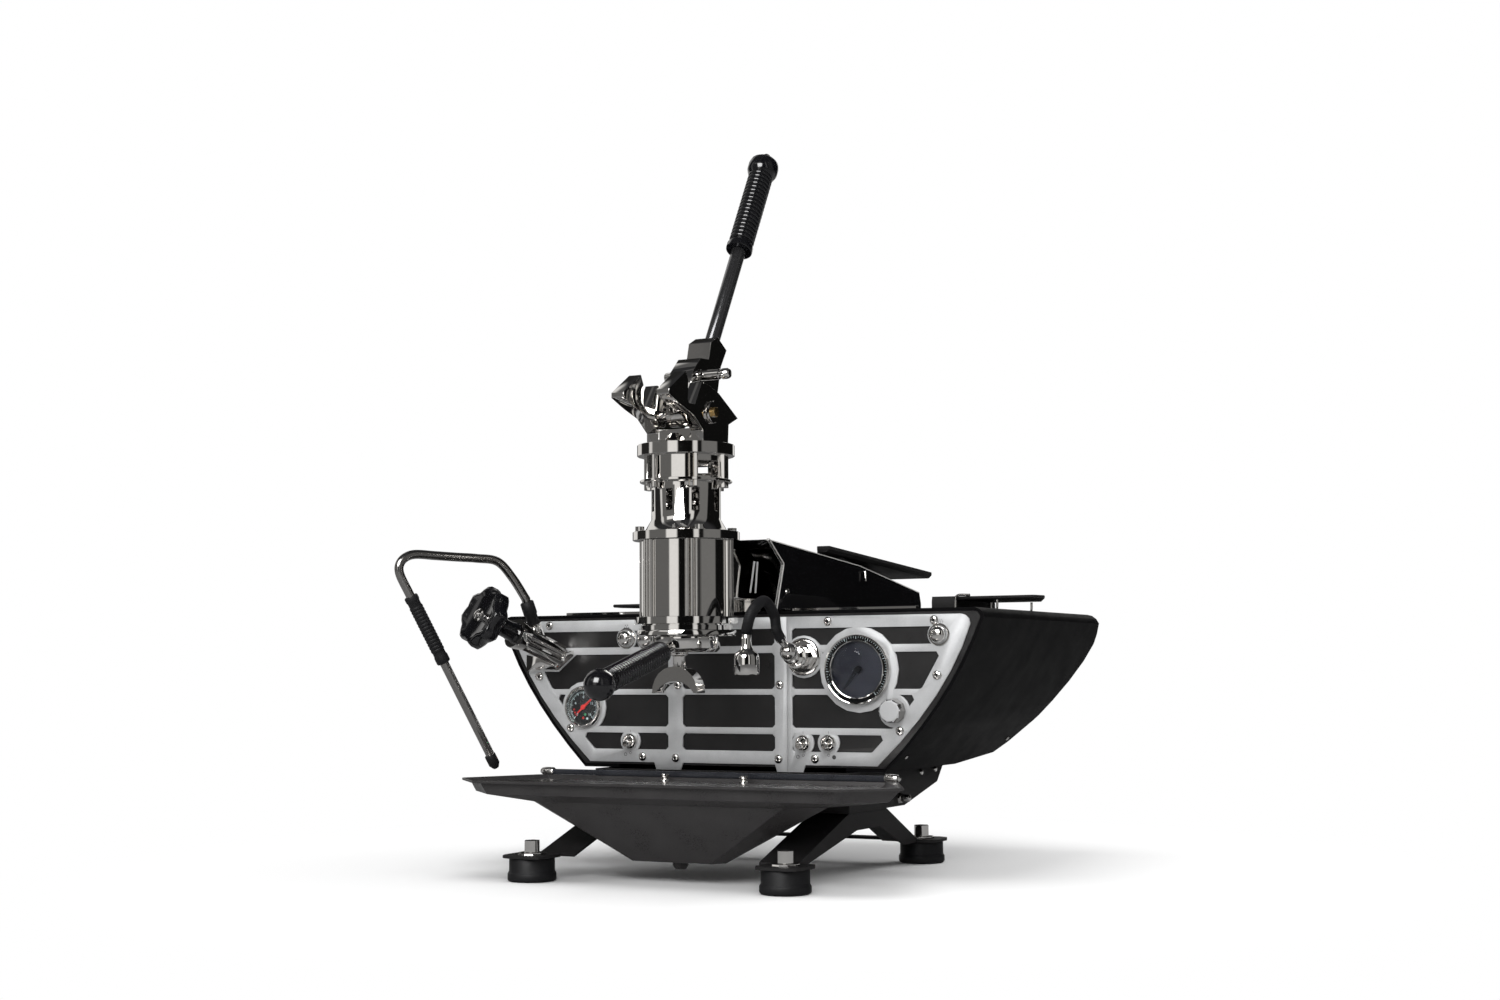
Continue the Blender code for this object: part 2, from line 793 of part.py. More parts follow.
def panel_hole_tool():
    """Every round hole through trim and fascia."""
    spots = [(*MAIN_GAUGE, MAIN_GAUGE_R - GAUGE_RIM, 20), (*SMALL_GAUGE, SMALL_GAUGE_R - GAUGE_RIM, 20)]
    small = (TEMP_KNOB, BUTTON_RINSE, BUTTON_BREW, BUTTON_STEAM, TOGGLE_LEFT, TOGGLE_MID, TOGGLE_RIGHT)
    spots += [(*spot, SHAFT_R, 8) for spot in small]
    spots += [(SPOUT_X, SPOUT_Z, FITTING_NECK_R, 16)]
    low = PANEL_Y - TRIM_THICK - OVERRUN
    high = PANEL_Y + FASCIA_THICK + OVERRUN
    holes = []
    for x, z, radius, steps in spots:
        reach = around(radius + GAP, steps)
        holes.append(turned([(reach, 0), (reach, high - low)], (x, low, z), (0, 1, 0), steps))
    return gather(holes)


def trim_sheet(sign, seam):
    """Half of the trim: straight at the seam, bowed at the side, with a tab below."""
    side = [(trim_half(z), z) for z in levels(TRIM_BOTTOM, TRIM_TOP - TRIM_CORNER, 6)]
    top = corner_arc((TRIM_HALF_TOP - TRIM_CORNER, TRIM_TOP - TRIM_CORNER), TRIM_CORNER, 0, 90)
    tab = [(TAB_INNER_X, TRIM_BOTTOM), (TAB_INNER_X + WINDOW_CORNER, TAB_BOTTOM),
           (TAB_OUTER_X - WINDOW_CORNER, TAB_BOTTOM), (TAB_OUTER_X, TRIM_BOTTOM)]
    if seam > TAB_INNER_X:
        tab = [(seam, TAB_BOTTOM)] + tab[2:]
    else:
        tab = [(seam, TRIM_BOTTOM)] + tab
    outline = tab + side[:-1] + top + [(seam, TRIM_TOP)]
    return [(sign * x, z) for x, z in outline]


def trim_outlines():
    """Right sheet, and the left one that carries on past the middle to the seam."""
    right = trim_sheet(1, TRIM_SEAM_X + GAP)
    left = trim_sheet(-1, 0.0)[1:-1]
    seam = [(TRIM_SEAM_X, TRIM_TOP), (TRIM_SEAM_X, TAB_BOTTOM), (TAB_INNER_X + WINDOW_CORNER, TAB_BOTTOM),
            (TAB_INNER_X, TRIM_BOTTOM)]
    return left + seam, right


def window(inner, outer_low, outer_high, low, high):
    corners = [(inner, high), (outer_high, high), (outer_low, low), (inner, low)]
    outline = rounded(corners, WINDOW_CORNER, 1)
    return prism(outline, PANEL_Y - TRIM_THICK - OVERRUN, PANEL_Y + GAP / 2, "Y")


def trim_windows():
    """Window openings in three columns, less the discs that stay round the dials."""
    panes = []
    for low, high in WINDOW_BANDS:
        sides = [trim_half(z, TRIM_BORDER) for z in (low, high)]
        panes.append(window(WINDOW_COLUMN_LEFT, -sides[0], -sides[1], low, high))
        panes.append(window(*WINDOW_COLUMN_MIDDLE, WINDOW_COLUMN_MIDDLE[1], low, high))
        panes.append(window(WINDOW_COLUMN_RIGHT, sides[0], sides[1], low, high))
    tool = gather(panes)
    pads = [(*MAIN_GAUGE, MAIN_GAUGE_PAD), (*SMALL_GAUGE, SMALL_GAUGE_PAD), (*TEMP_KNOB, TEMP_KNOB_PAD),
            (SPOUT_X, SPOUT_Z, FITTING_PAD)]
    small = (BUTTON_RINSE, BUTTON_BREW, BUTTON_STEAM, TOGGLE_LEFT, TOGGLE_MID, TOGGLE_RIGHT)
    pads += [(*spot, BUTTON_PAD) for spot in small]
    start = PANEL_Y - TRIM_THICK - 2 * OVERRUN
    for x, z, radius in pads:
        cut(tool, turned([(radius, 0), (radius, 4 * OVERRUN)], (x, start, z), (0, 1, 0), 20))
    cut(tool, prism(valve_patch(), start, start + 4 * OVERRUN, "Y"))
    return tool


def valve_patch():
    """Silver patch behind the steam valve, in shares of the valve's base."""
    shares = ((-1.20, 0.35), (0.24, 0.60), (0.24, 0.25), (-0.22, -0.67), (-0.69, -0.63), (-1.20, -0.85))
    return [(VALVE_X + VALVE_BASE * across, VALVE_Z + VALVE_BASE * 0.4 * up) for across, up in shares]


def domed_screw(place, direction):
    """Screw head whose base is sunk in the sheet that it holds."""
    dome = [(0, -SCREW_SINK), (SCREW_R, -SCREW_SINK), (SCREW_R, SCREW_HEAD / 2), (SCREW_R / 2, SCREW_HEAD),
            (0, SCREW_HEAD)]
    return turned(dome, place, direction, 6)


def screw_spots():
    """Places of the panel's screws: some lie in from the top corners or on the middle of the border."""
    spots = [(side * (TRIM_HALF_TOP - inset), z) for side, inset, z in SCREW_TOP_INSETS]
    spots += SCREW_SPOTS
    for z in SCREW_SIDE_LEVELS:
        x = trim_half(z, TRIM_BORDER / 2)
        spots += [(x, z), (-x, z)]
    return spots


def toggle_nut(spot):
    """Round nut on the trim round a toggle."""
    seat = TRIM_THICK - SCREW_SINK
    face = TRIM_THICK + TOGGLE_NUT
    profile = [(TOGGLE_BORE, seat), (TOGGLE_NUT_R, seat), (TOGGLE_NUT_R, face - TOGGLE_NUT * 0.4),
               (TOGGLE_BORE * 1.2, face), (TOGGLE_BORE, face)]
    return turned(profile, (spot[0], PANEL_Y, spot[1]), (0, -1, 0), 10, closed=True)


def trim_fittings(side):
    """Screws and toggle nuts left or right of the seam, as side is -1 or 1."""
    face = PANEL_Y - TRIM_THICK
    made = [domed_screw((x, face, z), (0, -1, 0)) for x, z in screw_spots() if side * (x - TRIM_SEAM_X) > 0]
    made += [toggle_nut(spot) for spot in toggle_spots().values() if side * (spot[0] - TRIM_SEAM_X) > 0]
    return gather(made)


def front_trims():
    """Two silver sheets with a seam right of the middle, cut by the same tools."""
    openings = trim_windows()
    holes = panel_hole_tool()
    for name, side, outline in zip(("trim_left", "trim_right"), (-1, 1), trim_outlines()):
        sheet = prism(outline, PANEL_Y - TRIM_THICK, PANEL_Y, "Y")
        cut(sheet, openings, holes)
        join(sheet, trim_fittings(side))
        named(sheet, name, silver_trim())


def front_fascia():
    """Black plate that fills the hull's front."""
    inset = SHEET + GAP
    half = hull_section(inset, HULL_TOP, HULL_BOTTOM + inset)
    plate = prism(half + mirrored(half), PANEL_Y + GAP, PANEL_Y + FASCIA_THICK, "Y")
    cut(plate, panel_hole_tool())
    return named(plate, "front_fascia", fascia_black())


def chassis_frame():
    """Pan that carries the hull's flanges, with a ledge in front for the tray's rear lip."""
    top = HULL_BOTTOM - GAP
    start = PANEL_Y - CHASSIS_START
    flat = PANEL_Y + CHASSIS_FLAT_END
    end = PANEL_Y + CHASSIS_SLOPE_END
    deep = top - CHASSIS_DROP
    rise = CHASSIS_DROP / 2
    outline = [(start, top), (start, deep), (flat, deep), (end - rise, deep + rise), (end, top)]
    pan = prism(outline, -CHASSIS_HALF, CHASSIS_HALF, "X")
    inner = [(start + SHEET, top + OVERRUN), (start + SHEET, deep + SHEET), (flat - SHEET, deep + SHEET),
             (end - rise - SHEET, deep + rise + SHEET), (end - 2 * SHEET, top + OVERRUN)]
    half = CHASSIS_HALF - SHEET
    cut(pan, prism(inner, -half, half, "X"))
    seat = TRAY_RIM_Z - TRAY_SHEET - GAP
    ledge = (-CHASSIS_HALF, TRAY_REAR_Y - TRAY_LIP + 2 * GAP, seat - SHEET)
    join(pan, box(ledge, (CHASSIS_HALF, start + SHEET / 2, seat)))
    return named(pan, "chassis_frame", black_sheet())


def feet_spots():
    return [(sign * FOOT_X, y) for y in (FOOT_FRONT_Y, FOOT_REAR_Y) for sign in (-1, 1)]


def rubber_foot(name, x, y):
    """Round foot with a shallow groove."""
    groove = FOOT_R - FOOT_GROOVE
    profile = [(0, 0), (groove, 0), (FOOT_R, FOOT_GROOVE), (FOOT_R, FOOT_HEIGHT * 0.35),
               (groove, FOOT_HEIGHT * 0.4), (groove, FOOT_HEIGHT), (0, FOOT_HEIGHT)]
    return named(turned(profile, (x, y, 0), steps=16), name, black_rubber())


def rubber_feet():
    names = ("foot_front_left", "foot_front_right", "foot_rear_left", "foot_rear_right")
    for name, (x, y) in zip(names, feet_spots()):
        rubber_foot(name, x, y)


def leg_top():
    return HULL_BOTTOM - GAP - CHASSIS_DROP - GAP


def leg_outline(inset):
    """Side profile of a leg, bent up from both feet to the pan."""
    pad = FOOT_HEIGHT + GAP
    high = leg_top() - inset
    low = pad + LEG_SHEET - inset
    base = pad - inset * 2
    under = leg_top() - LEG_BAND - inset * 2
    front = FOOT_FRONT_Y + FOOT_R * LEG_OVERLAP_SHARE
    rear = FOOT_REAR_Y - FOOT_R * LEG_OVERLAP_SHARE
    return [(front, base), (front, low), (PANEL_Y - LEG_FRONT_TOP + inset, high),
            (PANEL_Y + LEG_REAR_TOP - inset, high), (rear, low), (rear, base),
            (rear - 2 * LEG_BAND, base), (PANEL_Y + LEG_REAR_TOP - LEG_BAND, under),
            (PANEL_Y, under), (front + LEG_BAND, base)]


def legs():
    """Two sheet legs bolted to the feet and tied at the rear by a flat strip."""
    low = FOOT_HEIGHT + GAP
    high = low + LEG_SHEET
    rear = FOOT_REAR_Y - CROSS_STRIP / 2
    strip = box((-LEG_OUTER_X, rear, low), (LEG_OUTER_X, rear + CROSS_STRIP, high))
    for sign in (-1, 1):
        sides = sorted((sign * LEG_INNER_X, sign * LEG_OUTER_X))
        band = prism(leg_outline(0.0), *sides, "X")
        pocket = sorted((sign * (LEG_INNER_X - OVERRUN), sign * (LEG_OUTER_X - LEG_SHEET)))
        cut(band, prism(leg_outline(LEG_SHEET), *pocket, "X"))
        join(strip, band)
        for y in (FOOT_FRONT_Y, FOOT_REAR_Y):
            pad = rounded([(sign * FOOT_X + dx * FOOT_R, y + dy * FOOT_R)
                           for dx, dy in ((-1, -1), (1, -1), (1, 1), (-1, 1))], FOOT_R / 2, 2)
            join(strip, prism(pad, low, high))
    for x, y in feet_spots():
        washer = high + FOOT_WASHER
        base = high - SCREW_SINK
        stack = [(0, base), (FOOT_WASHER_R, base), (FOOT_WASHER_R, washer), (0, washer)]
        head = prism(hexagon(FOOT_BOLT_R, (x, y)), washer - SCREW_SINK, washer + FOOT_BOLT_HEIGHT)
        join(strip, turned(stack, (x, y, 0), steps=10), head)
    return named(strip, "legs", black_sheet())


def tray_ring(shares, z, inset=0.0):
    """Six corners of the tray at one height, drawn in towards the funnel's centre."""
    across, along = shares
    def y(value):
        drawn = FUNNEL_CENTRE_Y + (value - FUNNEL_CENTRE_Y) * along
        return drawn - math.copysign(inset, value - FUNNEL_CENTRE_Y)
    front = TRAY_FRONT_X * across - inset
    tip = TRAY_TIP_X * across - inset
    rear = TRAY_REAR_X * across - inset
    return [(-front, y(TRAY_FRONT_Y), z), (front, y(TRAY_FRONT_Y), z), (tip, y(TRAY_TIP_Y), z),
            (rear, y(TRAY_REAR_Y), z), (-rear, y(TRAY_REAR_Y), z), (-tip, y(TRAY_TIP_Y), z)]


def drip_tray():
    """Pressed tray with a rolled lip and a funnel down to its drain."""
    whole = (1, 1)
    lip = TRAY_RIM_Z - TRAY_SHEET
    rings = [tray_ring(FUNNEL_BOTTOM_SHARES, FUNNEL_BOTTOM_Z),
             tray_ring(FUNNEL_TOP_SHARES, FUNNEL_TOP_Z),
             tray_ring(TRAY_WALL_SHARES, TRAY_WALL_Z), tray_ring(whole, lip, TRAY_LIP),
             tray_ring(whole, lip), tray_ring(whole, TRAY_RIM_Z),
             tray_ring(whole, TRAY_RIM_Z, TRAY_LIP * 1.5),
             tray_ring(TRAY_WALL_SHARES, TRAY_WALL_Z + TRAY_SHEET, TRAY_SHEET * 2),
             tray_ring(FUNNEL_TOP_SHARES, FUNNEL_TOP_Z + TRAY_SHEET, TRAY_SHEET),
             tray_ring(FUNNEL_BOTTOM_SHARES, FUNNEL_BOTTOM_Z + TRAY_SHEET, TRAY_SHEET)]
    tray = loft(rings)
    low = FUNNEL_BOTTOM_Z - DRAIN_DROP
    high = FUNNEL_BOTTOM_Z + TRAY_SHEET / 2
    profile = [(0, low), (DRAIN_R * 0.7, low), (DRAIN_R, low + DRAIN_DROP / 2), (DRAIN_R, high), (0, high)]
    join(tray, turned(profile, (0, FUNNEL_CENTRE_Y, 0), steps=12))
    return named(tray, "drip_tray", tray_grey())


def grate_ring(z, inset):
    """Inner outline of the tray's wall at a height."""
    top = tray_ring((1, 1), TRAY_RIM_Z, TRAY_LIP * 1.5)
    low = tray_ring(TRAY_WALL_SHARES, TRAY_WALL_Z + TRAY_SHEET, TRAY_SHEET * 2)
    share = (z - low[0][2]) / (top[0][2] - low[0][2])
    made = []
    for under, over in zip(low, top):
        x = under[0] + (over[0] - under[0]) * share
        y = under[1] + (over[1] - under[1]) * share
        made.append((x - math.copysign(inset, x), y - math.copysign(inset, y - FUNNEL_CENTRE_Y)))
    return made


def tray_grate():
    """Slotted plate that seats on the sloping walls of the tray."""
    plate = prism(grate_ring(GRATE_Z, GAP * 3), GRATE_Z, GRATE_Z + GRATE_THICK)
    centre = (TRAY_FRONT_Y + TRAY_REAR_Y) / 2
    slots = []
    for row in range(GRATE_ROWS):
        y = centre + (row - (GRATE_ROWS - 1) / 2) * GRATE_PITCH_Y
        for column in range(GRATE_COLUMNS):
            x = (column - (GRATE_COLUMNS - 1) / 2) * GRATE_PITCH_X
            low = (x - GRATE_SLOT_LENGTH / 2, y - GRATE_SLOT / 2, GRATE_Z - OVERRUN)
            high = (x + GRATE_SLOT_LENGTH / 2, y + GRATE_SLOT / 2, GRATE_Z + OVERRUN + GRATE_THICK)
            slots.append(box(low, high))
    cut(plate, gather(slots))
    seat = GRATE_Z + GRATE_THICK / 2
    tall = GRATE_KNOB_HEIGHT
    waist = GRATE_KNOB_R * 0.6
    profile = [(0, seat), (GRATE_KNOB_R, seat), (GRATE_KNOB_R, seat + tall * 0.3),
               (waist, seat + tall * 0.5), (GRATE_KNOB_R, seat + tall * 0.7),
               (GRATE_KNOB_R, seat + tall), (0, seat + tall)]
    y = centre + GRATE_ROWS / 2 * GRATE_PITCH_Y
    for sign in (-1, 1):
        join(plate, turned(profile, (sign * GRATE_KNOB_X, y, 0), steps=8))
    return named(plate, "tray_grate", tray_grey())


def splash_bar():
    """Bar along the tray's rear rim, with a cap at each end."""
    low = TRAY_RIM_Z + GAP
    high = low + SPLASH_HEIGHT
    front = TRAY_REAR_Y - SPLASH_DEPTH
    bar = box((-SPLASH_HALF + SPLASH_CAP, front, low), (SPLASH_HALF - SPLASH_CAP, TRAY_REAR_Y, high))
    for sign in (-1, 1):
        sides = sorted((sign * (SPLASH_HALF - SPLASH_CAP * 1.2), sign * SPLASH_HALF))
        corner = (sides[1], TRAY_REAR_Y, high + SPLASH_HEIGHT / 5)
        join(bar, box((sides[0], front - SPLASH_DEPTH / 5, low), corner))
    return named(bar, "splash_bar", black_sheet())


def cowl_profile(inset=0.0):
    """Side outline of the spine (y, z): a notch in front, a long ridge and a short rear face."""
    made = [(PANEL_Y + COWL_LENGTH * along, HULL_TOP + GAP + COWL_HEIGHT * up - inset)
            for along, up in COWL_SHARES]
    rear = PANEL_Y + COWL_LENGTH - inset
    made[-2:] = [(made[-2][0] - inset, made[-2][1]), (rear, made[-1][1] + inset)]
    made[0] = (made[0][0], HULL_TOP + GAP)
    return made + [(rear, HULL_TOP + GAP)]


def cowl():
    """Folded spine cover, open below and in front."""
    outer = prism(cowl_profile(), -COWL_HALF, COWL_HALF, "X")
    outline = cowl_profile(SHEET)
    front = PANEL_Y - COWL_LENGTH * 0.2
    inner = [(front, HULL_TOP - OVERRUN), (front, outline[2][1])] + outline[2:-1]
    inner += [(outline[-1][0], HULL_TOP - OVERRUN)]
    half = COWL_HALF - SHEET
    cut(outer, prism(inner, -half, half, "X"))
    for sign in (-1, 1):
        join(outer, domed_screw((sign * COWL_HALF, PANEL_Y + COWL_BOLT_Y, COWL_BOLT_Z), (sign, 0, 0)))
    return named(outer, "cowl", polished_black())


def shelf_height(y):
    """Top of the sloping cup shelf at a depth behind the panel."""
    share = (y - SHELF_TIP_Y) / (SHELF_REAR_Y - SHELF_TIP_Y)
    return SHELF_TIP_Z + (SHELF_REAR_Z - SHELF_TIP_Z) * share


def ridge_height(y):
    """Top of the cowl's rear slope at a depth behind the panel."""
    start, end = COWL_SHARES[3], COWL_SHARES[4]
    share = (y / COWL_LENGTH - start[0]) / (end[0] - start[0])
    return HULL_TOP + GAP + COWL_HEIGHT * (start[1] + (end[1] - start[1]) * share)


def cup_shelf():
    """Wedge-shaped plate that stands on the cowl by a post."""
    plan = [(-SHELF_TIP_HALF, SHELF_TIP_Y), (SHELF_TIP_HALF, SHELF_TIP_Y),
            (SHELF_REAR_HALF, SHELF_REAR_Y), (-SHELF_REAR_HALF, SHELF_REAR_Y)]
    rings = []
    for drop, inset in ((SHELF_THICK, SHELF_THICK / 2), (SHELF_THICK / 2, 0), (0, 0)):
        ring = []
        for x, y in plan:
            ring.append((x - math.copysign(inset, x), PANEL_Y + y, shelf_height(y) - drop))
        rings.append(ring)
    plate = loft(rings)
    front, rear = SHELF_POST_FRONT, SHELF_POST_REAR
    outline = [(PANEL_Y + front, ridge_height(front) + GAP), (PANEL_Y + rear, ridge_height(rear) + GAP),
               (PANEL_Y + rear, shelf_height(rear) - SHELF_THICK / 2),
               (PANEL_Y + front, shelf_height(front) - SHELF_THICK / 2)]
    join(plate, prism(outline, -SHELF_POST_HALF, SHELF_POST_HALF, "X"))
    return named(plate, "cup_shelf", black_sheet())


def cup_wing(name, sign):
    """Side plate for cups, on a block beside the cowl and on two brackets."""
    low = WING_TOP_Z - WING_THICK
    front = PANEL_Y + WING_FRONT_Y
    rear = PANEL_Y + WING_REAR_Y
    deep = rear - front
    inner = WING_INNER - WING_THICK
    plan = [(inner, front), (WING_OUTER - WING_THICK, front), (WING_OUTER, front + deep * 0.2),
            (WING_INNER + (WING_OUTER - WING_INNER) * 0.6, rear), (inner, rear)]
    plate = prism([(sign * x, y) for x, y in plan], low, WING_TOP_Z - GAP)
    seat = HULL_TOP + GAP
    sides = sorted((sign * WING_BLOCK_X, sign * WING_INNER))
    block = (sides[0], front - WING_THICK / 2, seat), (sides[1], rear + WING_THICK / 2, WING_TOP_Z)
    join(plate, box(*block))
    for step in (1, 5):
        y = front + WING_BRACKET_DEPTH * step
        sides = sorted((sign * WING_BRACKET_X, sign * (WING_BRACKET_X + WING_BRACKET_WIDTH)))
        join(plate, box((sides[0], y, seat), (sides[1], y + WING_BRACKET_DEPTH, low + WING_THICK / 2)))
    return named(plate, name, black_sheet())


def group_turned(profile, steps=GROUP_STEPS, closed=False):
    return turned(profile, (0, GROUP_Y, 0), steps=steps, closed=closed)


def group_head():
    """Bayonet ring and plate, with an inner lip that has a notch for each lug."""
    groove = HEAD_RING_R - HEAD_GROOVE
    lip = HEAD_BOTTOM + HEAD_LIP
    profile = [(HEAD_LIP_R, HEAD_BOTTOM), (HEAD_RING_R, HEAD_BOTTOM), (HEAD_RING_R, HEAD_RING_TOP),
               (groove, HEAD_RING_TOP), (groove, HEAD_PLATE_BOTTOM), (HEAD_PLATE_R, HEAD_PLATE_BOTTOM),
               (HEAD_PLATE_R, HEAD_TOP), (PISTON_BORE, HEAD_TOP), (PISTON_BORE, HEAD_CAVITY_TOP),
               (HEAD_CAVITY_R, HEAD_CAVITY_TOP), (HEAD_CAVITY_R, lip), (HEAD_LIP_R, lip)]
    head = group_turned(profile, closed=True)
    for sign in (-1, 1):
        inner = HEAD_LIP_R - OVERRUN
        outer = HEAD_CAVITY_R - OVERRUN / 4
        half = LUG_HALF + HEAD_LIP / 2
        notch = box((inner, -half, -OVERRUN), (outer, half, HEAD_LIP + GAP))
        turn = Matrix.Rotation(-LOCK_TURN + (math.pi if sign < 0 else 0), 4, "Z")
        notch.data.transform(Matrix.Translation((0, GROUP_Y, HEAD_BOTTOM)) @ turn)
        cut(head, notch)
    return named(head, "group_head", chrome())


def shower_screen():
    top = HEAD_CAVITY_TOP - GAP
    profile = [(0, top - SCREEN_THICK), (SCREEN_R, top - SCREEN_THICK), (SCREEN_R, top), (0, top)]
    return named(group_turned(profile, 24), "shower_screen", steel())


def group_heading(angle, radius):
    """Place at a heading from -Y towards +X round the group's axis."""
    return math.sin(angle) * radius, GROUP_Y - math.cos(angle) * radius


def fluted_outline(radius, height):
    """Round outline with groups of half-round flutes."""
    made = []
    span = 2 * math.pi / FLUTE_GROUPS
    for group in range(FLUTE_GROUPS):
        middle = FLUTE_FIRST + group * span
        for flute in range(FLUTES):
            centre = middle + (flute - (FLUTES - 1) / 2) * FLUTE_PITCH
            for offset, rise in ((-0.5, 0), (-0.36, 0.8), (0, 1), (0.36, 0.8)):
                made.append(group_heading(centre + offset * FLUTE_PITCH, radius + rise * height))
        edge = middle + FLUTES / 2 * FLUTE_PITCH
        made += [group_heading(edge + share * (span - FLUTES * FLUTE_PITCH), radius)
                 for share in (0, 0.25, 0.5, 0.75)]
    return made


def group_cylinder():
    """Fluted cylinder with the piston's bore."""
    low = HEAD_TOP + GAP
    high = CYLINDER_TOP - GAP
    barrel = prism(fluted_outline(CYLINDER_R, FLUTE_HEIGHT), low, high)
    bore = [(0, low - OVERRUN), (PISTON_BORE, low - OVERRUN), (PISTON_BORE, high + OVERRUN),
            (0, high + OVERRUN)]
    cut(barrel, group_turned(bore))
    return named(barrel, "group_cylinder", chrome())


def radial_box(heading, inner, outer, width, low, high):
    """Box that runs out from the group's axis at a heading."""
    made = box((-width / 2, -outer, low), (width / 2, -inner, high))
    made.data.transform(Matrix.Translation((0, GROUP_Y, 0)) @ Matrix.Rotation(heading, 4, "Z"))
    return made


def rib_group(heading):
    """Outline of three half-round ribs side by side."""
    made = []
    for rib in range(FLUTES):
        centre = heading + (rib - (FLUTES - 1) / 2) * FLUTE_PITCH
        for offset, reach in ((-0.5, -0.6), (-0.3, 0.7), (0.3, 0.7)):
            made.append(group_heading(centre + offset * FLUTE_PITCH, RIB_CIRCLE + reach * RIB_R))
    edge = FLUTES / 2 * FLUTE_PITCH
    made.append(group_heading(heading + edge, RIB_CIRCLE - 0.6 * RIB_R))
    made.append(group_heading(heading + edge, UPPER_R - RIB_R))
    made.append(group_heading(heading - edge, UPPER_R - RIB_R))
    return made


def spring_housing():
    """Bolted plate, cone, slotted barrel, ribbed upper barrel, top flange and the rod's gland."""
    ring = RIB_RING_LOW + RIB_RING
    ceiling = SPRING_TOP + GAP
    bore = GLAND_R - GLAND_WALL
    profile = [(PISTON_BORE, CYLINDER_TOP), (PLATE_R, CYLINDER_TOP), (PLATE_R, PLATE_TOP),
               (CONE_R, PLATE_TOP), (HOUSING_R, CONE_TOP), (HOUSING_R, RIB_RING_LOW),
               (RIB_RING_R, RIB_RING_LOW), (RIB_RING_R, ring), (UPPER_R, ring), (UPPER_R, FLANGE_BOTTOM),
               (FLANGE_R, FLANGE_BOTTOM), (FLANGE_R, HOUSING_TOP), (GLAND_R, HOUSING_TOP),
               (GLAND_R, GLAND_TOP - GLAND_WALL), (GLAND_R - GLAND_WALL / 2, GLAND_TOP), (bore, GLAND_TOP),
               (bore, ceiling), (PISTON_BORE, ceiling)]
    body = group_turned(profile, closed=True)
    span = 2 * math.pi / FLUTE_GROUPS
    ribs = [prism(rib_group(FLUTE_FIRST + group * span), RIB_BOTTOM, FLANGE_BOTTOM + RIB_RING)
            for group in range(FLUTE_GROUPS)]
    join(body, gather(ribs))
    inner = PISTON_BORE - OVERRUN
    openings = [radial_box(2 * math.pi * slot / SLOTS, inner, HOUSING_R + OVERRUN, SLOT_WIDTH, SLOT_BOTTOM,
                           SLOT_TOP) for slot in range(SLOTS)]
    for group in range(0, FLUTE_GROUPS, 2):
        heading = FLUTE_FIRST + (group + 0.5) * span
        openings.append(radial_box(heading, inner, UPPER_R + OVERRUN, WINDOW_WIDTH, ring + RIB_RING,
                                   ceiling - RIB_RING))
    cut(body, gather(openings))
    spots = [group_heading(math.pi / 4 + step * math.pi / 2, BOLT_CIRCLE) for step in range(4)]
    join(body, gather([prism(hexagon(BOLT_R, spot), PLATE_TOP - SCREW_SINK, PLATE_TOP + BOLT_HEIGHT)
                       for spot in spots]))
    return named(body, "spring_housing", chrome())


def group_mount():
    """Bracket from the deck, inside the cowl, to a saddle on the cylinder."""
    reach = GROUP_Y + CYLINDER_R * 0.6
    foot = HULL_TOP + GAP
    step = PANEL_Y - NECK_FOOT
    rear = PANEL_Y + NECK_REAR
    outline = [(reach, NECK_TOP), (step, NECK_TOP), (rear, NECK_BOTTOM + NECK_FOOT), (rear, foot),
               (PANEL_Y + NECK_FOOT, foot), (PANEL_Y + NECK_FOOT, NECK_BOTTOM), (reach, NECK_BOTTOM)]
    bracket = prism(outline, -NECK_HALF, NECK_HALF, "X")
    radius = around(CYLINDER_R + FLUTE_HEIGHT + GAP, GROUP_STEPS)
    saddle = [(0, NECK_BOTTOM - OVERRUN), (radius, NECK_BOTTOM - OVERRUN), (radius, NECK_TOP + OVERRUN),
              (0, NECK_TOP + OVERRUN)]
    cut(bracket, group_turned(saddle))
    return named(bracket, "group_mount", black_sheet())


def piston():
    """Piston with two seal grooves and its rod."""
    top = SPRING_BOTTOM - GAP
    neck = PISTON_R - PISTON_SEAL
    tall = top - PISTON_BOTTOM
    profile = [(0, PISTON_BOTTOM), (PISTON_R, PISTON_BOTTOM)]
    for share in (0.2, 0.6):
        low = PISTON_BOTTOM + tall * share
        profile += [(PISTON_R, low), (neck, low), (neck, low + tall * 0.12), (PISTON_R, low + tall * 0.12)]
    profile += [(PISTON_R, top), (ROD_R, top), (ROD_R, ROD_TOP - GAP), (ROD_R * 0.8, ROD_TOP), (0, ROD_TOP)]
    return named(group_turned(profile, 14), "piston", steel(), (0, GROUP_Y, PISTON_BOTTOM))


def coil_points():
    """Middle line of the spring, from the piston up to the housing's ceiling."""
    low = SPRING_BOTTOM + SPRING_WIRE_R
    high = SPRING_TOP - SPRING_WIRE_R
    count = SPRING_TURNS * SPRING_POINTS
    made = []
    for step in range(count + 1):
        angle = 2 * math.pi * step / SPRING_POINTS
        made.append(Vector((SPRING_R * math.cos(angle), GROUP_Y + SPRING_R * math.sin(angle),
                            low + (high - low) * step / count)))
    return made


def least_coil_gap(points):
    """Least free gap between parts of the coil that are over half a turn apart."""
    gaps = []
    for index, point in enumerate(points):
        for other in points[index + SPRING_POINTS // 2:]:
            gaps.append((point - other).length - 2 * SPRING_WIRE_R)
    return min(gaps)


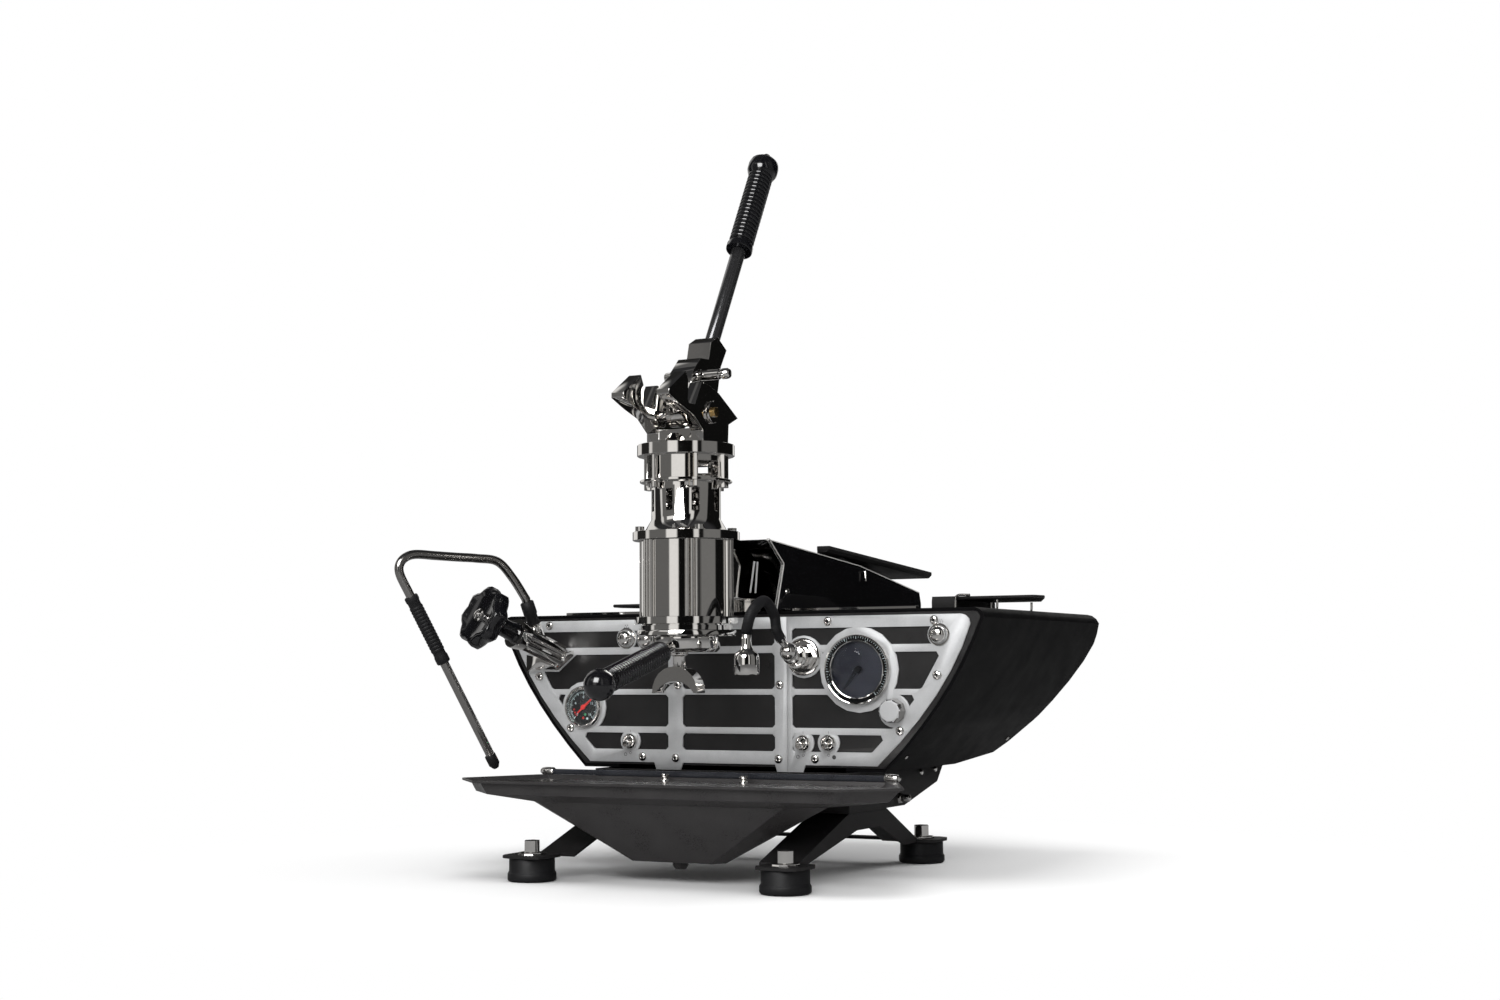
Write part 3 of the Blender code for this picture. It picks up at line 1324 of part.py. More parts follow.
def main_spring():
    """Open coil spring round the piston rod."""
    points = coil_points()
    print("main_spring least gap to itself, m:", round(least_coil_gap(points), 5))
    curve = bpy.data.curves.new("main_spring", "CURVE")
    curve.dimensions = "3D"
    curve.bevel_depth = SPRING_WIRE_R
    curve.bevel_resolution = 1
    curve.use_fill_caps = True
    line = curve.splines.new("POLY")
    line.points.add(len(points) - 1)
    for knot, point in zip(line.points, points):
        knot.co = (*point, 1)
    coil = bpy.data.objects.new("main_spring", curve)
    coil.data.materials.append(steel())
    bpy.context.scene.collection.objects.link(coil)
    return coil


def pivot_outline(shares, reach):
    return [(PIVOT_Y + reach * along, PIVOT_Z + reach * up) for along, up in shares]


def fork_outline():
    base = HOUSING_TOP + GAP
    upper = pivot_outline(FORK_SHARES, FORK_REACH)
    return [(upper[0][0], base)] + upper + [(upper[-1][0], base)]


def lever_fork():
    """Two hooked cheeks on one base, with an arch between them in front."""
    base = HOUSING_TOP + GAP
    outline = fork_outline()
    front = outline[0][0]
    rear = outline[-1][0]
    body = box((-CHEEK_INNER - FORK_BASE, front, base), (CHEEK_INNER + FORK_BASE, rear, base + FORK_BASE))
    for sign in (-1, 1):
        sides = sorted((sign * CHEEK_INNER, sign * CHEEK_OUTER))
        join(body, prism(outline, *sides, "X"))
    high = base + FORK_ARCH_R + GAP * 2
    web = box((-CHEEK_INNER - FORK_BASE / 2, front + GAP, base + GAP), (CHEEK_INNER + FORK_BASE / 2,
                                                                      front + FORK_BASE, high))
    join(body, web)
    arch = [(0, 0), (FORK_ARCH_R * 0.8, 0), (FORK_ARCH_R * 0.8, FORK_BASE * 3), (0, FORK_BASE * 3)]
    cut(body, turned(arch, (0, front - FORK_BASE, base), (0, 1, 0), 16))
    well = GLAND_R + GAP
    hole = [(0, base - OVERRUN), (well, base - OVERRUN), (well, base + FORK_BASE + OVERRUN),
            (0, base + FORK_BASE + OVERRUN)]
    cut(body, group_turned(hole, 16))
    reach = CHEEK_OUTER + OVERRUN
    bore = [(0, -reach), (PIN_R + GAP, -reach), (PIN_R + GAP, reach), (0, reach)]
    cut(body, turned(bore, (0, PIVOT_Y, PIVOT_Z), (1, 0, 0), 12))
    return named(body, "lever_fork", chrome())


def fork_pin():
    """Pivot pin with a washer and a hexagon at each end."""
    seat = CHEEK_OUTER + GAP
    face = seat + PIN_WASHER
    profile = [(0, -face), (PIN_WASHER_R, -face), (PIN_WASHER_R, -seat), (PIN_R, -seat), (PIN_R, seat),
               (PIN_WASHER_R, seat), (PIN_WASHER_R, face), (0, face)]
    pin = turned(profile, (0, PIVOT_Y, PIVOT_Z), (1, 0, 0), 12)
    for sign in (-1, 1):
        sides = sorted((sign * (face - PIN_WASHER / 2), sign * (face + PIN_HEX)))
        join(pin, prism(hexagon(PIN_HEX_R, (PIVOT_Y, PIVOT_Z)), *sides, "X"))
    return named(pin, "fork_pin", brass())


def lever_axis():
    return Vector((0, math.sin(LEVER_LEAN), math.cos(LEVER_LEAN)))


def lever_place(distance):
    """Point on the lever's middle line at a distance from its seat on the yoke."""
    return Vector((0, LEVER_BASE_Y, LEVER_BASE_Z)) + lever_axis() * distance


def pivot():
    return (0, PIVOT_Y, PIVOT_Z)


def lever_yoke():
    """Arm from the pivot up to the rod's seat."""
    front = pivot_outline(YOKE_FRONT_SHARES, YOKE_REACH)
    rear = pivot_outline(YOKE_REAR_SHARES, YOKE_REACH)
    dy = math.cos(LEVER_LEAN) * YOKE_SEAT
    dz = math.sin(LEVER_LEAN) * YOKE_SEAT
    seat = [(LEVER_BASE_Y - dy, LEVER_BASE_Z + dz), (LEVER_BASE_Y + dy, LEVER_BASE_Z - dz)]
    hub = corner_arc((PIVOT_Y, PIVOT_Z), YOKE_HUB_R, 0, -180, 8)
    arm = prism(front + seat + rear + hub, -YOKE_HALF, YOKE_HALF, "X")
    reach = YOKE_HALF + OVERRUN
    for y, z, radius in ((PIVOT_Y, PIVOT_Z, PIN_R), (STOP_PIN_Y, STOP_PIN_Z, STOP_PIN_R)):
        bore = [(0, -reach), (radius + GAP, -reach), (radius + GAP, reach), (0, reach)]
        cut(arm, turned(bore, (0, y, z), (1, 0, 0), 12))
    return named(arm, "lever_yoke", chrome(), pivot())


def stop_pin():
    """Cross pin through the yoke, grooved near its long rounded end."""
    groove = STOP_PIN_R * 0.75
    neck = STOP_PIN_RIGHT - STOP_PIN_R * 1.6
    profile = [(0, -STOP_PIN_LEFT), (STOP_PIN_R, -STOP_PIN_LEFT), (STOP_PIN_R, neck - STOP_PIN_R / 2),
               (groove, neck - STOP_PIN_R / 2), (groove, neck), (STOP_PIN_R, neck),
               (STOP_PIN_R, STOP_PIN_RIGHT - STOP_PIN_R / 2), (groove, STOP_PIN_RIGHT),
               (0, STOP_PIN_RIGHT)]
    pin = turned(profile, (0, STOP_PIN_Y, STOP_PIN_Z), (1, 0, 0), 12)
    return named(pin, "stop_pin", chrome(), pivot())


def lever_rod():
    profile = [(0, GAP), (LEVER_ROD_R, GAP), (LEVER_ROD_R, LEVER_ROD_LENGTH), (0, LEVER_ROD_LENGTH)]
    rod = turned(profile, lever_place(0), lever_axis(), 16)
    return named(rod, "lever_rod", polished_black(), pivot())


def lever_grip():
    """Ribbed grip between a collar and a flared head."""
    seat = LEVER_ROD_LENGTH + GAP
    collar = GRIP_LENGTH * 0.06
    ribbed = GRIP_LENGTH * 0.80
    profile = [(0, seat), (GRIP_COLLAR_R, seat), (GRIP_COLLAR_R, seat + collar),
               (GRIP_R, seat + collar * 1.4)]
    pitch = (ribbed - collar * 1.4) / GRIP_RIBS
    for rib in range(GRIP_RIBS):
        low = seat + collar * 1.4 + rib * pitch
        profile += [(GRIP_R + GRIP_RIB, low + pitch * 0.5), (GRIP_R, low + pitch)]
    profile += [(GRIP_HEAD_R, seat + GRIP_LENGTH * 0.87), (GRIP_HEAD_R, seat + GRIP_LENGTH * 0.95),
                (GRIP_HEAD_R * 0.75, seat + GRIP_LENGTH), (0, seat + GRIP_LENGTH)]
    grip = turned(profile, lever_place(0), lever_axis(), 12)
    return named(grip, "lever_grip", black_plastic(), pivot())


def grip_screw():
    seat = LEVER_ROD_LENGTH + GRIP_LENGTH + 2 * GAP
    tall = GRIP_SCREW_HEIGHT
    profile = [(0, seat), (GRIP_SCREW_R, seat), (GRIP_SCREW_R, seat + tall * 0.5),
               (GRIP_SCREW_R * 0.6, seat + tall * 0.6), (GRIP_SCREW_R * 0.6, seat + tall * 0.9),
               (0, seat + tall)]
    screw = turned(profile, lever_place(0), lever_axis(), 12)
    return named(screw, "grip_screw", chrome(), pivot())


def handle_start():
    return Vector((0, GROUP_Y - HANDLE_START, HANDLE_START_Z))


def handle_axis():
    return Vector((0, HANDLE_START - HANDLE_BALL, HANDLE_BALL_Z - HANDLE_START_Z)).normalized()


def group_axis():
    return (0, GROUP_Y, HEAD_BOTTOM)


def portafilter_body():
    """Open cup with a rim, two lugs and the neck of its handle."""
    bore = FILTER_R - FILTER_WALL
    chamfer = FILTER_WALL * 1.3
    profile = [(0, FILTER_BOTTOM), (FILTER_R - chamfer, FILTER_BOTTOM), (FILTER_R, FILTER_BOTTOM + chamfer),
               (FILTER_R, HEAD_BOTTOM - GAP), (FILTER_RIM_R, HEAD_BOTTOM), (FILTER_RIM_R, FILTER_RIM_TOP),
               (bore, FILTER_RIM_TOP), (bore, FILTER_BOTTOM + chamfer), (0, FILTER_BOTTOM + chamfer)]
    body = group_turned(profile)
    low = HEAD_BOTTOM + HEAD_LIP + GAP
    for sign in (-1, 1):
        sides = sorted((sign * (bore + FILTER_WALL / 2), sign * LUG_REACH))
        lug = (sides[0], GROUP_Y - LUG_HALF, low), (sides[1], GROUP_Y + LUG_HALF, low + LUG_THICK)
        join(body, box(*lug))
    reach = HANDLE_START - bore - FILTER_WALL / 2
    slim = HANDLE_NECK_R * 0.9
    neck = [(0, 0), (slim, 0), (slim, reach * 0.7), (HANDLE_NECK_R, reach), (0, reach)]
    join(body, turned(neck, handle_start() - handle_axis() * reach, handle_axis(), 12))
    return named(body, "portafilter_body", chrome(), group_axis())


def portafilter_handle():
    """Ribbed handle with a ball at its end."""
    length = (Vector((0, GROUP_Y - HANDLE_BALL, HANDLE_BALL_Z)) - handle_start()).length
    collar = HANDLE_R * 0.5
    ribbed = length - BALL_R * 1.1 - collar
    pitch = ribbed / HANDLE_RIBS
    profile = [(0, GAP), (HANDLE_R * 0.95, GAP), (HANDLE_R, collar)]
    for rib in range(HANDLE_RIBS):
        profile.append((HANDLE_R + HANDLE_RIB, collar + (rib + 0.5) * pitch))
        profile.append((HANDLE_R, collar + (rib + 1) * pitch))
    start = math.asin(HANDLE_R / BALL_R) + math.radians(8)
    for step in range(6):
        angle = start + (math.pi - start) * step / 6
        profile.append((BALL_R * math.sin(angle), length - BALL_R * math.cos(angle)))
    profile.append((0, length + BALL_R))
    handle = turned(profile, handle_start(), handle_axis(), 12)
    return named(handle, "portafilter_handle", black_plastic(), group_axis())


def portafilter_spout():
    """Crescent-shaped double spout on a short stem."""
    tall = SPOUT_TOP - SPOUT_TIP
    radius = (SPOUT_HALF ** 2 + tall ** 2) / (2 * tall)
    outer = arch(SPOUT_HALF, radius, SPOUT_TOP - radius, 12)
    half = SPOUT_HALF - SPOUT_LIP
    low = SPOUT_ARCH - SPOUT_TIP
    inner_radius = (half ** 2 + low ** 2) / (2 * low)
    inner = arch(half, inner_radius, SPOUT_ARCH - inner_radius, 10)
    middle = GROUP_Y - SPOUT_OFFSET
    front, rear = middle - SPOUT_DEPTH / 2, middle + SPOUT_DEPTH / 2
    crescent = prism(outer + list(reversed(inner)), front, rear, "Y")
    stem = SPOUT_STEM_R
    seat = FILTER_BOTTOM - GAP
    low = SPOUT_ARCH + stem
    profile = [(0, low), (stem, low), (stem, seat - stem * 0.6), (stem * 1.4, seat - stem * 0.4),
               (stem * 1.4, seat), (0, seat)]
    join(crescent, turned(profile, (0, middle + SPOUT_DEPTH / 8, 0), steps=16))
    return named(crescent, "portafilter_spout", chrome(), group_axis())


def arch(half, radius, centre, steps):
    """Arc (x, z) from -half to half over the top of a circle."""
    reach = math.asin(min(1, half / radius))
    if centre > SPOUT_TIP:
        reach = math.pi - reach
    return [(radius * math.sin(-reach + 2 * reach * step / steps),
             centre + radius * math.cos(-reach + 2 * reach * step / steps)) for step in range(steps + 1)]


def filter_basket():
    """Thin basket whose flange lies on the portafilter's rim."""
    outer = FILTER_R - FILTER_WALL - GAP
    seat = FILTER_RIM_TOP + GAP
    top = seat + BASKET_WALL
    floor = seat - BASKET_DEPTH
    base = outer - BASKET_TAPER
    profile = [(0, floor), (base, floor), (outer, seat), (FILTER_R, seat), (FILTER_R, top),
               (outer - BASKET_WALL, top), (base - BASKET_WALL, floor + BASKET_WALL),
               (0, floor + BASKET_WALL)]
    return named(group_turned(profile, 18), "filter_basket", steel(), group_axis())


def valve_foot():
    return Vector((VALVE_X, PANEL_Y, VALVE_Z))


def valve_axis():
    return (Vector((KNOB_X, KNOB_Y, KNOB_Z)) - valve_foot()).normalized()


def wand_plane(along, z):
    """Place in the wand's upright plane."""
    x = WAND_FOOT_X - math.sin(WAND_HEADING) * along
    return Vector((x, WAND_FOOT_Y - math.cos(WAND_HEADING) * along, z))


def wand_seat():
    return valve_foot() + valve_axis() * BOSS_PLACE


def collar_axis():
    along, up = WAND_SHARES[0]
    return (wand_plane(WAND_REACH * along, WAND_FOOT_Z + WAND_RISE * up) - wand_seat()).normalized()


def lobed_ring(centre, axis, radius, lobe, lobes):
    """Ring of points with a wavy radius, four points to a lobe."""
    side, up = basis(axis)
    made = []
    for step in range(lobes * 4):
        angle = 2 * math.pi * step / (lobes * 4)
        reach = radius + lobe * math.cos(lobes * angle)
        made.append(centre + (side * math.cos(angle) + up * math.sin(angle)) * reach)
    return made


def steam_valve():
    """Angled valve: foot on the panel, fluted body, flared collar and the wand's boss."""
    seat = PANEL_Y - TRIM_THICK - GAP
    patch = valve_patch()
    centre = Vector((VALVE_X - VALVE_FLUTE, VALVE_Z))
    rings = []
    for size, depth in ((0.85, 0), (0.80, VALVE_FOOT * 0.4), (0.5, VALVE_FOOT)):
        rings.append([(centre.x + (x - centre.x) * size, seat - depth, centre.y + (z - centre.y) * size)
                      for x, z in patch])
    body = loft(rings)
    axis = valve_axis()
    start = VALVE_FOOT * 0.75
    core = VALVE_R - VALVE_FLUTE
    fluted = [lobed_ring(valve_foot() + axis * place, axis, core, VALVE_FLUTE, VALVE_FLUTES)
              for place in (start, VALVE_BODY_END)]
    join(body, loft(fluted))
    end = VALVE_BODY_END + VALVE_COLLAR
    flare = [(0, VALVE_BODY_END - OVERRUN), (VALVE_R * 1.1, VALVE_BODY_END - OVERRUN),
             (VALVE_COLLAR_R, end - OVERRUN), (VALVE_COLLAR_R, end), (0, end)]
    join(body, turned(flare, valve_foot(), axis, 20))
    boss = [(0, 0), (BOSS_R, 0), (BOSS_R * 0.85, BOSS_LENGTH * 0.8), (BOSS_R, BOSS_LENGTH),
            (0, BOSS_LENGTH)]
    join(body, turned(boss, wand_seat(), collar_axis(), 16))
    return named(body, "steam_valve", chrome())


def knob_place():
    return (KNOB_X, KNOB_Y, KNOB_Z)


def steam_knob():
    """Eight-lobed knob with a dished face and a neck down to the valve."""
    axis = valve_axis()
    centre = Vector(knob_place())
    half = KNOB_DEPTH / 2
    layers = ((0.50, -1.0), (0.88, -0.9), (1.0, -0.45), (1.0, 0.4), (0.93, 0.85), (0.80, 1.0), (0.68, 0.75))
    rings = [lobed_ring(centre + axis * half * place, axis, KNOB_R * size, KNOB_LOBE * size, KNOB_LOBES)
             for size, place in layers]
    knob = loft(rings)
    length = (centre - valve_foot()).length - half
    start = VALVE_BODY_END + VALVE_COLLAR + GAP
    neck = [(0, start), (KNOB_NECK_R * 1.2, start), (KNOB_NECK_R, start + half), (KNOB_NECK_R, length - half),
            (KNOB_NECK_R * 1.2, length + half / 2), (0, length + half / 2)]
    join(knob, turned(neck, valve_foot(), axis, 16))
    return named(knob, "steam_knob", black_plastic(), knob_place())


def wand_collar():
    start = BOSS_LENGTH + GAP
    end = start + COLLAR_LENGTH
    step = start + COLLAR_LENGTH * 0.4
    inner = COLLAR_R * 0.88
    profile = [(0, start), (inner, start), (inner, step), (COLLAR_R, step + OVERRUN / 4),
               (COLLAR_R, end - OVERRUN / 4), (inner, end), (0, end)]
    return named(turned(profile, wand_seat(), collar_axis(), 14), "wand_collar", black_plastic())


def wand_drop_axis():
    return (wand_plane(-math.sin(WAND_LEAN), -math.cos(WAND_LEAN)) - wand_plane(0, 0)).normalized()


def wand_straight():
    along, up = WAND_SHARES[-1]
    return wand_plane(WAND_REACH * along, WAND_FOOT_Z + WAND_RISE * up)


def steam_wand():
    """Bent tube from the collar, over the knob and straight down to its tip."""
    start = wand_seat() + collar_axis() * (BOSS_LENGTH + COLLAR_LENGTH + 2 * GAP)
    bends = [wand_plane(WAND_REACH * along, WAND_FOOT_Z + WAND_RISE * up) for along, up in WAND_SHARES]
    path = [start] + smooth_path([start + collar_axis() * WAND_R] + bends, 2)
    path.append(wand_straight() + wand_drop_axis() * WAND_DROP)
    tube = sweep(path, [WAND_R] * len(path), 8)
    return named(tube, "steam_wand", chrome(), wand_seat())


def wand_grip():
    """Ribbed sleeve on the wand's straight part."""
    bore = WAND_R + GAP
    pitch = WAND_GRIP_LENGTH * 0.8 / WAND_GRIP_RIBS
    first = WAND_GRIP_LENGTH * 0.1
    profile = [(bore, GAP), (WAND_GRIP_R + WAND_GRIP_RIB, GAP), (WAND_GRIP_R, first)]
    for rib in range(WAND_GRIP_RIBS):
        profile += [(WAND_GRIP_R + WAND_GRIP_RIB, first + (rib + 0.5) * pitch),
                    (WAND_GRIP_R, first + (rib + 1) * pitch)]
    profile += [(WAND_GRIP_R + WAND_GRIP_RIB, WAND_GRIP_LENGTH), (bore, WAND_GRIP_LENGTH)]
    grip = turned(profile, wand_straight(), wand_drop_axis(), 8, closed=True)
    return named(grip, "wand_grip", black_rubber(), wand_seat())


def wand_tip():
    start = WAND_DROP + GAP
    end = start + WAND_TIP_LENGTH
    profile = [(0, start), (WAND_TIP_R, start), (WAND_TIP_R, start + WAND_TIP_LENGTH * 0.7),
               (WAND_TIP_R * 0.5, end), (0, end)]
    tip = turned(profile, wand_straight(), wand_drop_axis(), 12)
    return named(tip, "wand_tip", black_rubber(), wand_seat())


def spout_ball():
    return Vector((SPOUT_X, PANEL_Y - FITTING_REACH, SPOUT_Z + FITTING_BALL_RISE))


def spout_fitting():
    """Threaded fitting with a round flange on the trim and a ball for the hose."""
    seat = TRIM_THICK + GAP
    neck = FITTING_NECK_R
    face = seat + FITTING_FLANGE
    profile = [(0, -FITTING_DEPTH), (neck, -FITTING_DEPTH), (neck, seat), (FITTING_R, seat),
               (FITTING_R, face),
               (neck * 1.2, face + FITTING_FLANGE), (neck * 1.2, face + 2 * FITTING_FLANGE),
               (neck * 0.8, face + 3 * FITTING_FLANGE), (neck * 0.8, FITTING_REACH * 0.62),
               (neck * 0.55, FITTING_REACH * 0.75), (neck * 0.55, FITTING_REACH), (0, FITTING_REACH)]
    body = turned(profile, (SPOUT_X, PANEL_Y, SPOUT_Z), (0, -1, 0), 16)
    ball = [(FITTING_BALL_R * math.sin(math.pi * step / 8), -FITTING_BALL_R * math.cos(math.pi * step / 8))
            for step in range(1, 8)]
    ball = [(0, -FITTING_BALL_R)] + ball + [(0, FITTING_BALL_R)]
    join(body, turned(ball, spout_ball(), (0, 0, 1), 12))
    return named(body, "spout_fitting", chrome())


def nozzle_y():
    return PANEL_Y - FITTING_REACH - HOSE_REACH


def water_hose():
    """Smooth hose that arches from the ball down to the nozzle."""
    ball = spout_ball()
    bends = [ball + Vector((0, -HOSE_REACH * along, HOSE_RISE * up)) for along, up in HOSE_SHARES]
    start = ball + (bends[0] - ball).normalized() * (FITTING_BALL_R + HOSE_R * 0.15)
    end = Vector((SPOUT_X, nozzle_y(), NOZZLE_TOP + GAP))
    path = smooth_path([start] + bends + [end], 3)
    radii = [HOSE_R * 0.75] * 2 + [HOSE_R] * (len(path) - 2)
    path[-2].y = end.y
    return named(sweep(path, radii, 8), "water_hose", black_rubber(), spout_ball())


def water_nozzle():
    """Tapered nozzle with an open, thick-walled mouth."""
    waist = NOZZLE_R * 0.62
    bore = NOZZLE_R - NOZZLE_WALL
    mouth = NOZZLE_SHOULDER - NOZZLE_WALL
    profile = [(0, NOZZLE_TOP), (NOZZLE_TOP_R, NOZZLE_TOP), (waist, NOZZLE_SHOULDER),
               (NOZZLE_R, NOZZLE_SHOULDER - NOZZLE_WALL / 2), (NOZZLE_R, NOZZLE_BOTTOM),
               (bore, NOZZLE_BOTTOM),
               (bore, mouth - NOZZLE_WALL), (0, mouth - NOZZLE_WALL)]
    nozzle = turned(profile, (SPOUT_X, nozzle_y(), 0), steps=20)
    return named(nozzle, "water_nozzle", chrome(), spout_ball())


def gauge(name, spot, radius):
    """Round gauge with its case behind the panel, a bezel and a recessed dial."""
    case = radius - GAUGE_RIM
    seat = TRIM_THICK + GAP
    dial = GAUGE_PROUD - DIAL_RECESS
    profile = [(0, -GAUGE_DEPTH), (case, -GAUGE_DEPTH), (case, seat), (radius, seat),
               (radius, GAUGE_PROUD * 0.7), (radius - GAUGE_RIM / 2, GAUGE_PROUD),
               (case, GAUGE_PROUD), (case - GAUGE_RIM / 4, dial), (0, dial)]
    body = turned(profile, (spot[0], PANEL_Y, spot[1]), (0, -1, 0), 20)
    return named(body, name, chrome())


def needle(name, spot, radius, heading):
    """Pointer with a round hub, just clear of its dial."""
    length = (radius - GAUGE_RIM) * 0.8
    hub = length * 0.16
    outline = corner_arc((0, 0), hub, 40, 320, 8) + [(length, -hub * 0.15), (length, hub * 0.15)]
    turn = [(spot[0] + x * math.cos(heading) - z * math.sin(heading),
             spot[1] + x * math.sin(heading) + z * math.cos(heading)) for x, z in outline]
    face = PANEL_Y - (GAUGE_PROUD - DIAL_RECESS) - GAP
    hand = prism(turn, face - NEEDLE_THICK, face, "Y")
    return named(hand, name, red_needle(), (spot[0], PANEL_Y, spot[1]))


def temp_knob():
    """Faceted knob on a shaft through the panel."""
    seat = TRIM_THICK + GAP * 2
    top = seat + TEMP_KNOB_DEPTH
    profile = [(0, -SHAFT_R * 2), (SHAFT_R, -SHAFT_R * 2), (SHAFT_R, seat), (TEMP_KNOB_R, seat),
               (TEMP_KNOB_R * 0.92, top * 0.9), (TEMP_KNOB_R * 0.8, top), (0, top)]
    x, z = TEMP_KNOB
    knob = turned(profile, (x, PANEL_Y, z), (0, -1, 0), TEMP_KNOB_SIDES)
    return named(knob, "temp_knob", silver_trim(), (x, PANEL_Y, z))


def push_button(name, spot):
    """Domed button on a stem, with room behind it for its stroke."""
    seat = TRIM_THICK + BUTTON_STROKE + GAP * 2
    profile = [(0, -SHAFT_R * 2), (SHAFT_R, -SHAFT_R * 2), (SHAFT_R, seat), (BUTTON_R, seat),
               (BUTTON_R, seat + BUTTON_DOME * 0.4), (BUTTON_R * 0.8, seat + BUTTON_DOME * 0.8),
               (BUTTON_R * 0.4, seat + BUTTON_DOME), (0, seat + BUTTON_DOME)]
    button = turned(profile, (spot[0], PANEL_Y, spot[1]), (0, -1, 0), 12)
    return named(button, name, chrome(), (spot[0], PANEL_Y, spot[1]))


def toggle_spots():
    return {"toggle_left": TOGGLE_LEFT, "toggle_mid": TOGGLE_MID, "toggle_right": TOGGLE_RIGHT}


def toggle(name, spot):
    """Ball-ended lever that pivots in its nut, pointing down at rest."""
    ball = TOGGLE_BALL_R
    stalk = ball * 0.5
    profile = [(0, -ball), (ball * 0.7, -ball * 0.7), (ball, 0), (ball * 0.7, ball * 0.7), (stalk, ball),
               (TOGGLE_TIP_R, TOGGLE_LENGTH * 0.8), (TOGGLE_TIP_R * 0.8, TOGGLE_LENGTH), (0, TOGGLE_LENGTH)]
    centre = (spot[0], PANEL_Y, spot[1])
    aim = (0, -math.cos(TOGGLE_TILT), -math.sin(TOGGLE_TILT))
    return named(turned(profile, centre, aim, 10), name, chrome(), centre)


def pan_floor():
    return HULL_BOTTOM - GAP - CHASSIS_DROP + SHEET + GAP


def steam_boiler():
    """Boiler across the hull on two saddles."""
    y = PANEL_Y + BOILER_Y
    z = pan_floor() + BOILER_RISE
    dome = BOILER_R * 0.3
    crown, rise = BOILER_R * 0.6, dome * 0.3
    profile = [(0, -BOILER_HALF), (crown, rise - BOILER_HALF), (BOILER_R, dome - BOILER_HALF),
               (BOILER_R, BOILER_HALF - dome), (crown, BOILER_HALF - rise), (0, BOILER_HALF)]
    tank = turned(profile, (0, y, z), (1, 0, 0), 24)
    for sign in (-1, 1):
        x = sign * SADDLE_X
        depth = CHASSIS_FLAT_END - BOILER_Y - SHEET - SADDLE_HALF / 5
        join(tank, box((x - SADDLE_HALF, y - depth, pan_floor()), (x + SADDLE_HALF, y + depth, z)))
    return named(tank, "steam_boiler", brass())


def pump():
    """Pump on the pan's floor, with a smaller head at one end."""
    centre = (0, PANEL_Y + PUMP_Y, pan_floor() + PUMP_R)
    head, shoulder = PUMP_R * 0.7, PUMP_HALF * 0.4
    profile = [(0, -PUMP_HALF), (PUMP_R, -PUMP_HALF), (PUMP_R, shoulder), (head, shoulder),
               (head, PUMP_HALF), (0, PUMP_HALF)]
    return named(turned(profile, centre, (1, 0, 0), 16), "pump", steel())


def build():
    """Every piece of the machine, from the floor up."""
    clear_scene()
    rubber_feet()
    legs()
    chassis_frame()
    hull_side("hull_left", -1)
    hull_side("hull_right", 1)
    rear_cover()
    top_deck()
    front_fascia()
    front_trims()
    steam_boiler()
    pump()
    drip_tray()
    tray_grate()
    splash_bar()
    cowl()
    cup_shelf()
    cup_wing("cup_wing_left", -1)
    cup_wing("cup_wing_right", 1)
    group_mount()
    group_head()
    shower_screen()
    group_cylinder()
    spring_housing()
    piston()
    main_spring()
    lever_fork()
    fork_pin()
    lever_yoke()
    stop_pin()
    lever_rod()
    lever_grip()
    grip_screw()
    portafilter_body()
    portafilter_handle()
    portafilter_spout()
    filter_basket()
    steam_valve()
    steam_knob()
    wand_collar()
    steam_wand()
    wand_grip()
    wand_tip()
    spout_fitting()
    water_hose()
    water_nozzle()
    gauge("main_gauge", MAIN_GAUGE, MAIN_GAUGE_R)
    gauge("small_gauge", SMALL_GAUGE, SMALL_GAUGE_R)
    needle("main_gauge_needle", MAIN_GAUGE, MAIN_GAUGE_R, math.radians(230))
    needle("small_gauge_needle", SMALL_GAUGE, SMALL_GAUGE_R, math.radians(40))
    temp_knob()
    push_button("rinse_button", BUTTON_RINSE)
    push_button("brew_button", BUTTON_BREW)
    push_button("steam_button", BUTTON_STEAM)
    for name, spot in toggle_spots().items():
        toggle(name, spot)


build()
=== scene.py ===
"""Looks of a lever espresso machine: materials, fine pieces, studio and camera.

Metres, +Z up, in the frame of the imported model. X = 0 is the machine's middle plane and the panel faces -Y.
A profile is a list of (radius, height) points that is turned round an axis. A shape is a profile in shares.
"""

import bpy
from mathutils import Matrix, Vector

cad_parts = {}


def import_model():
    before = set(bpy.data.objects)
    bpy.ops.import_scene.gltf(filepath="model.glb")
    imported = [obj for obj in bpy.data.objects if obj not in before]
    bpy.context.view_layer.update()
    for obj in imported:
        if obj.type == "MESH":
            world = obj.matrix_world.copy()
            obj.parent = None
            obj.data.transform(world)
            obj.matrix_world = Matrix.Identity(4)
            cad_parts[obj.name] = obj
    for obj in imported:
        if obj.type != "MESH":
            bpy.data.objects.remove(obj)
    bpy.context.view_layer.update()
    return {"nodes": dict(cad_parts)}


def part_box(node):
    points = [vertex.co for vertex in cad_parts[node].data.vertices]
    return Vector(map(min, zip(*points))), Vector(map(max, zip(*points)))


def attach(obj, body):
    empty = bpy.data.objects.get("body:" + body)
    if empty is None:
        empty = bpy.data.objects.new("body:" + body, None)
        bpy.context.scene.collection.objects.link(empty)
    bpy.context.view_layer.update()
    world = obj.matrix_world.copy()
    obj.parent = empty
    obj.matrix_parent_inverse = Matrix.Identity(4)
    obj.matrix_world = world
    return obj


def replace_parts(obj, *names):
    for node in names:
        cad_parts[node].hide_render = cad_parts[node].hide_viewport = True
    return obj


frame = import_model()

import math

import bpy
from mathutils import Matrix, Vector

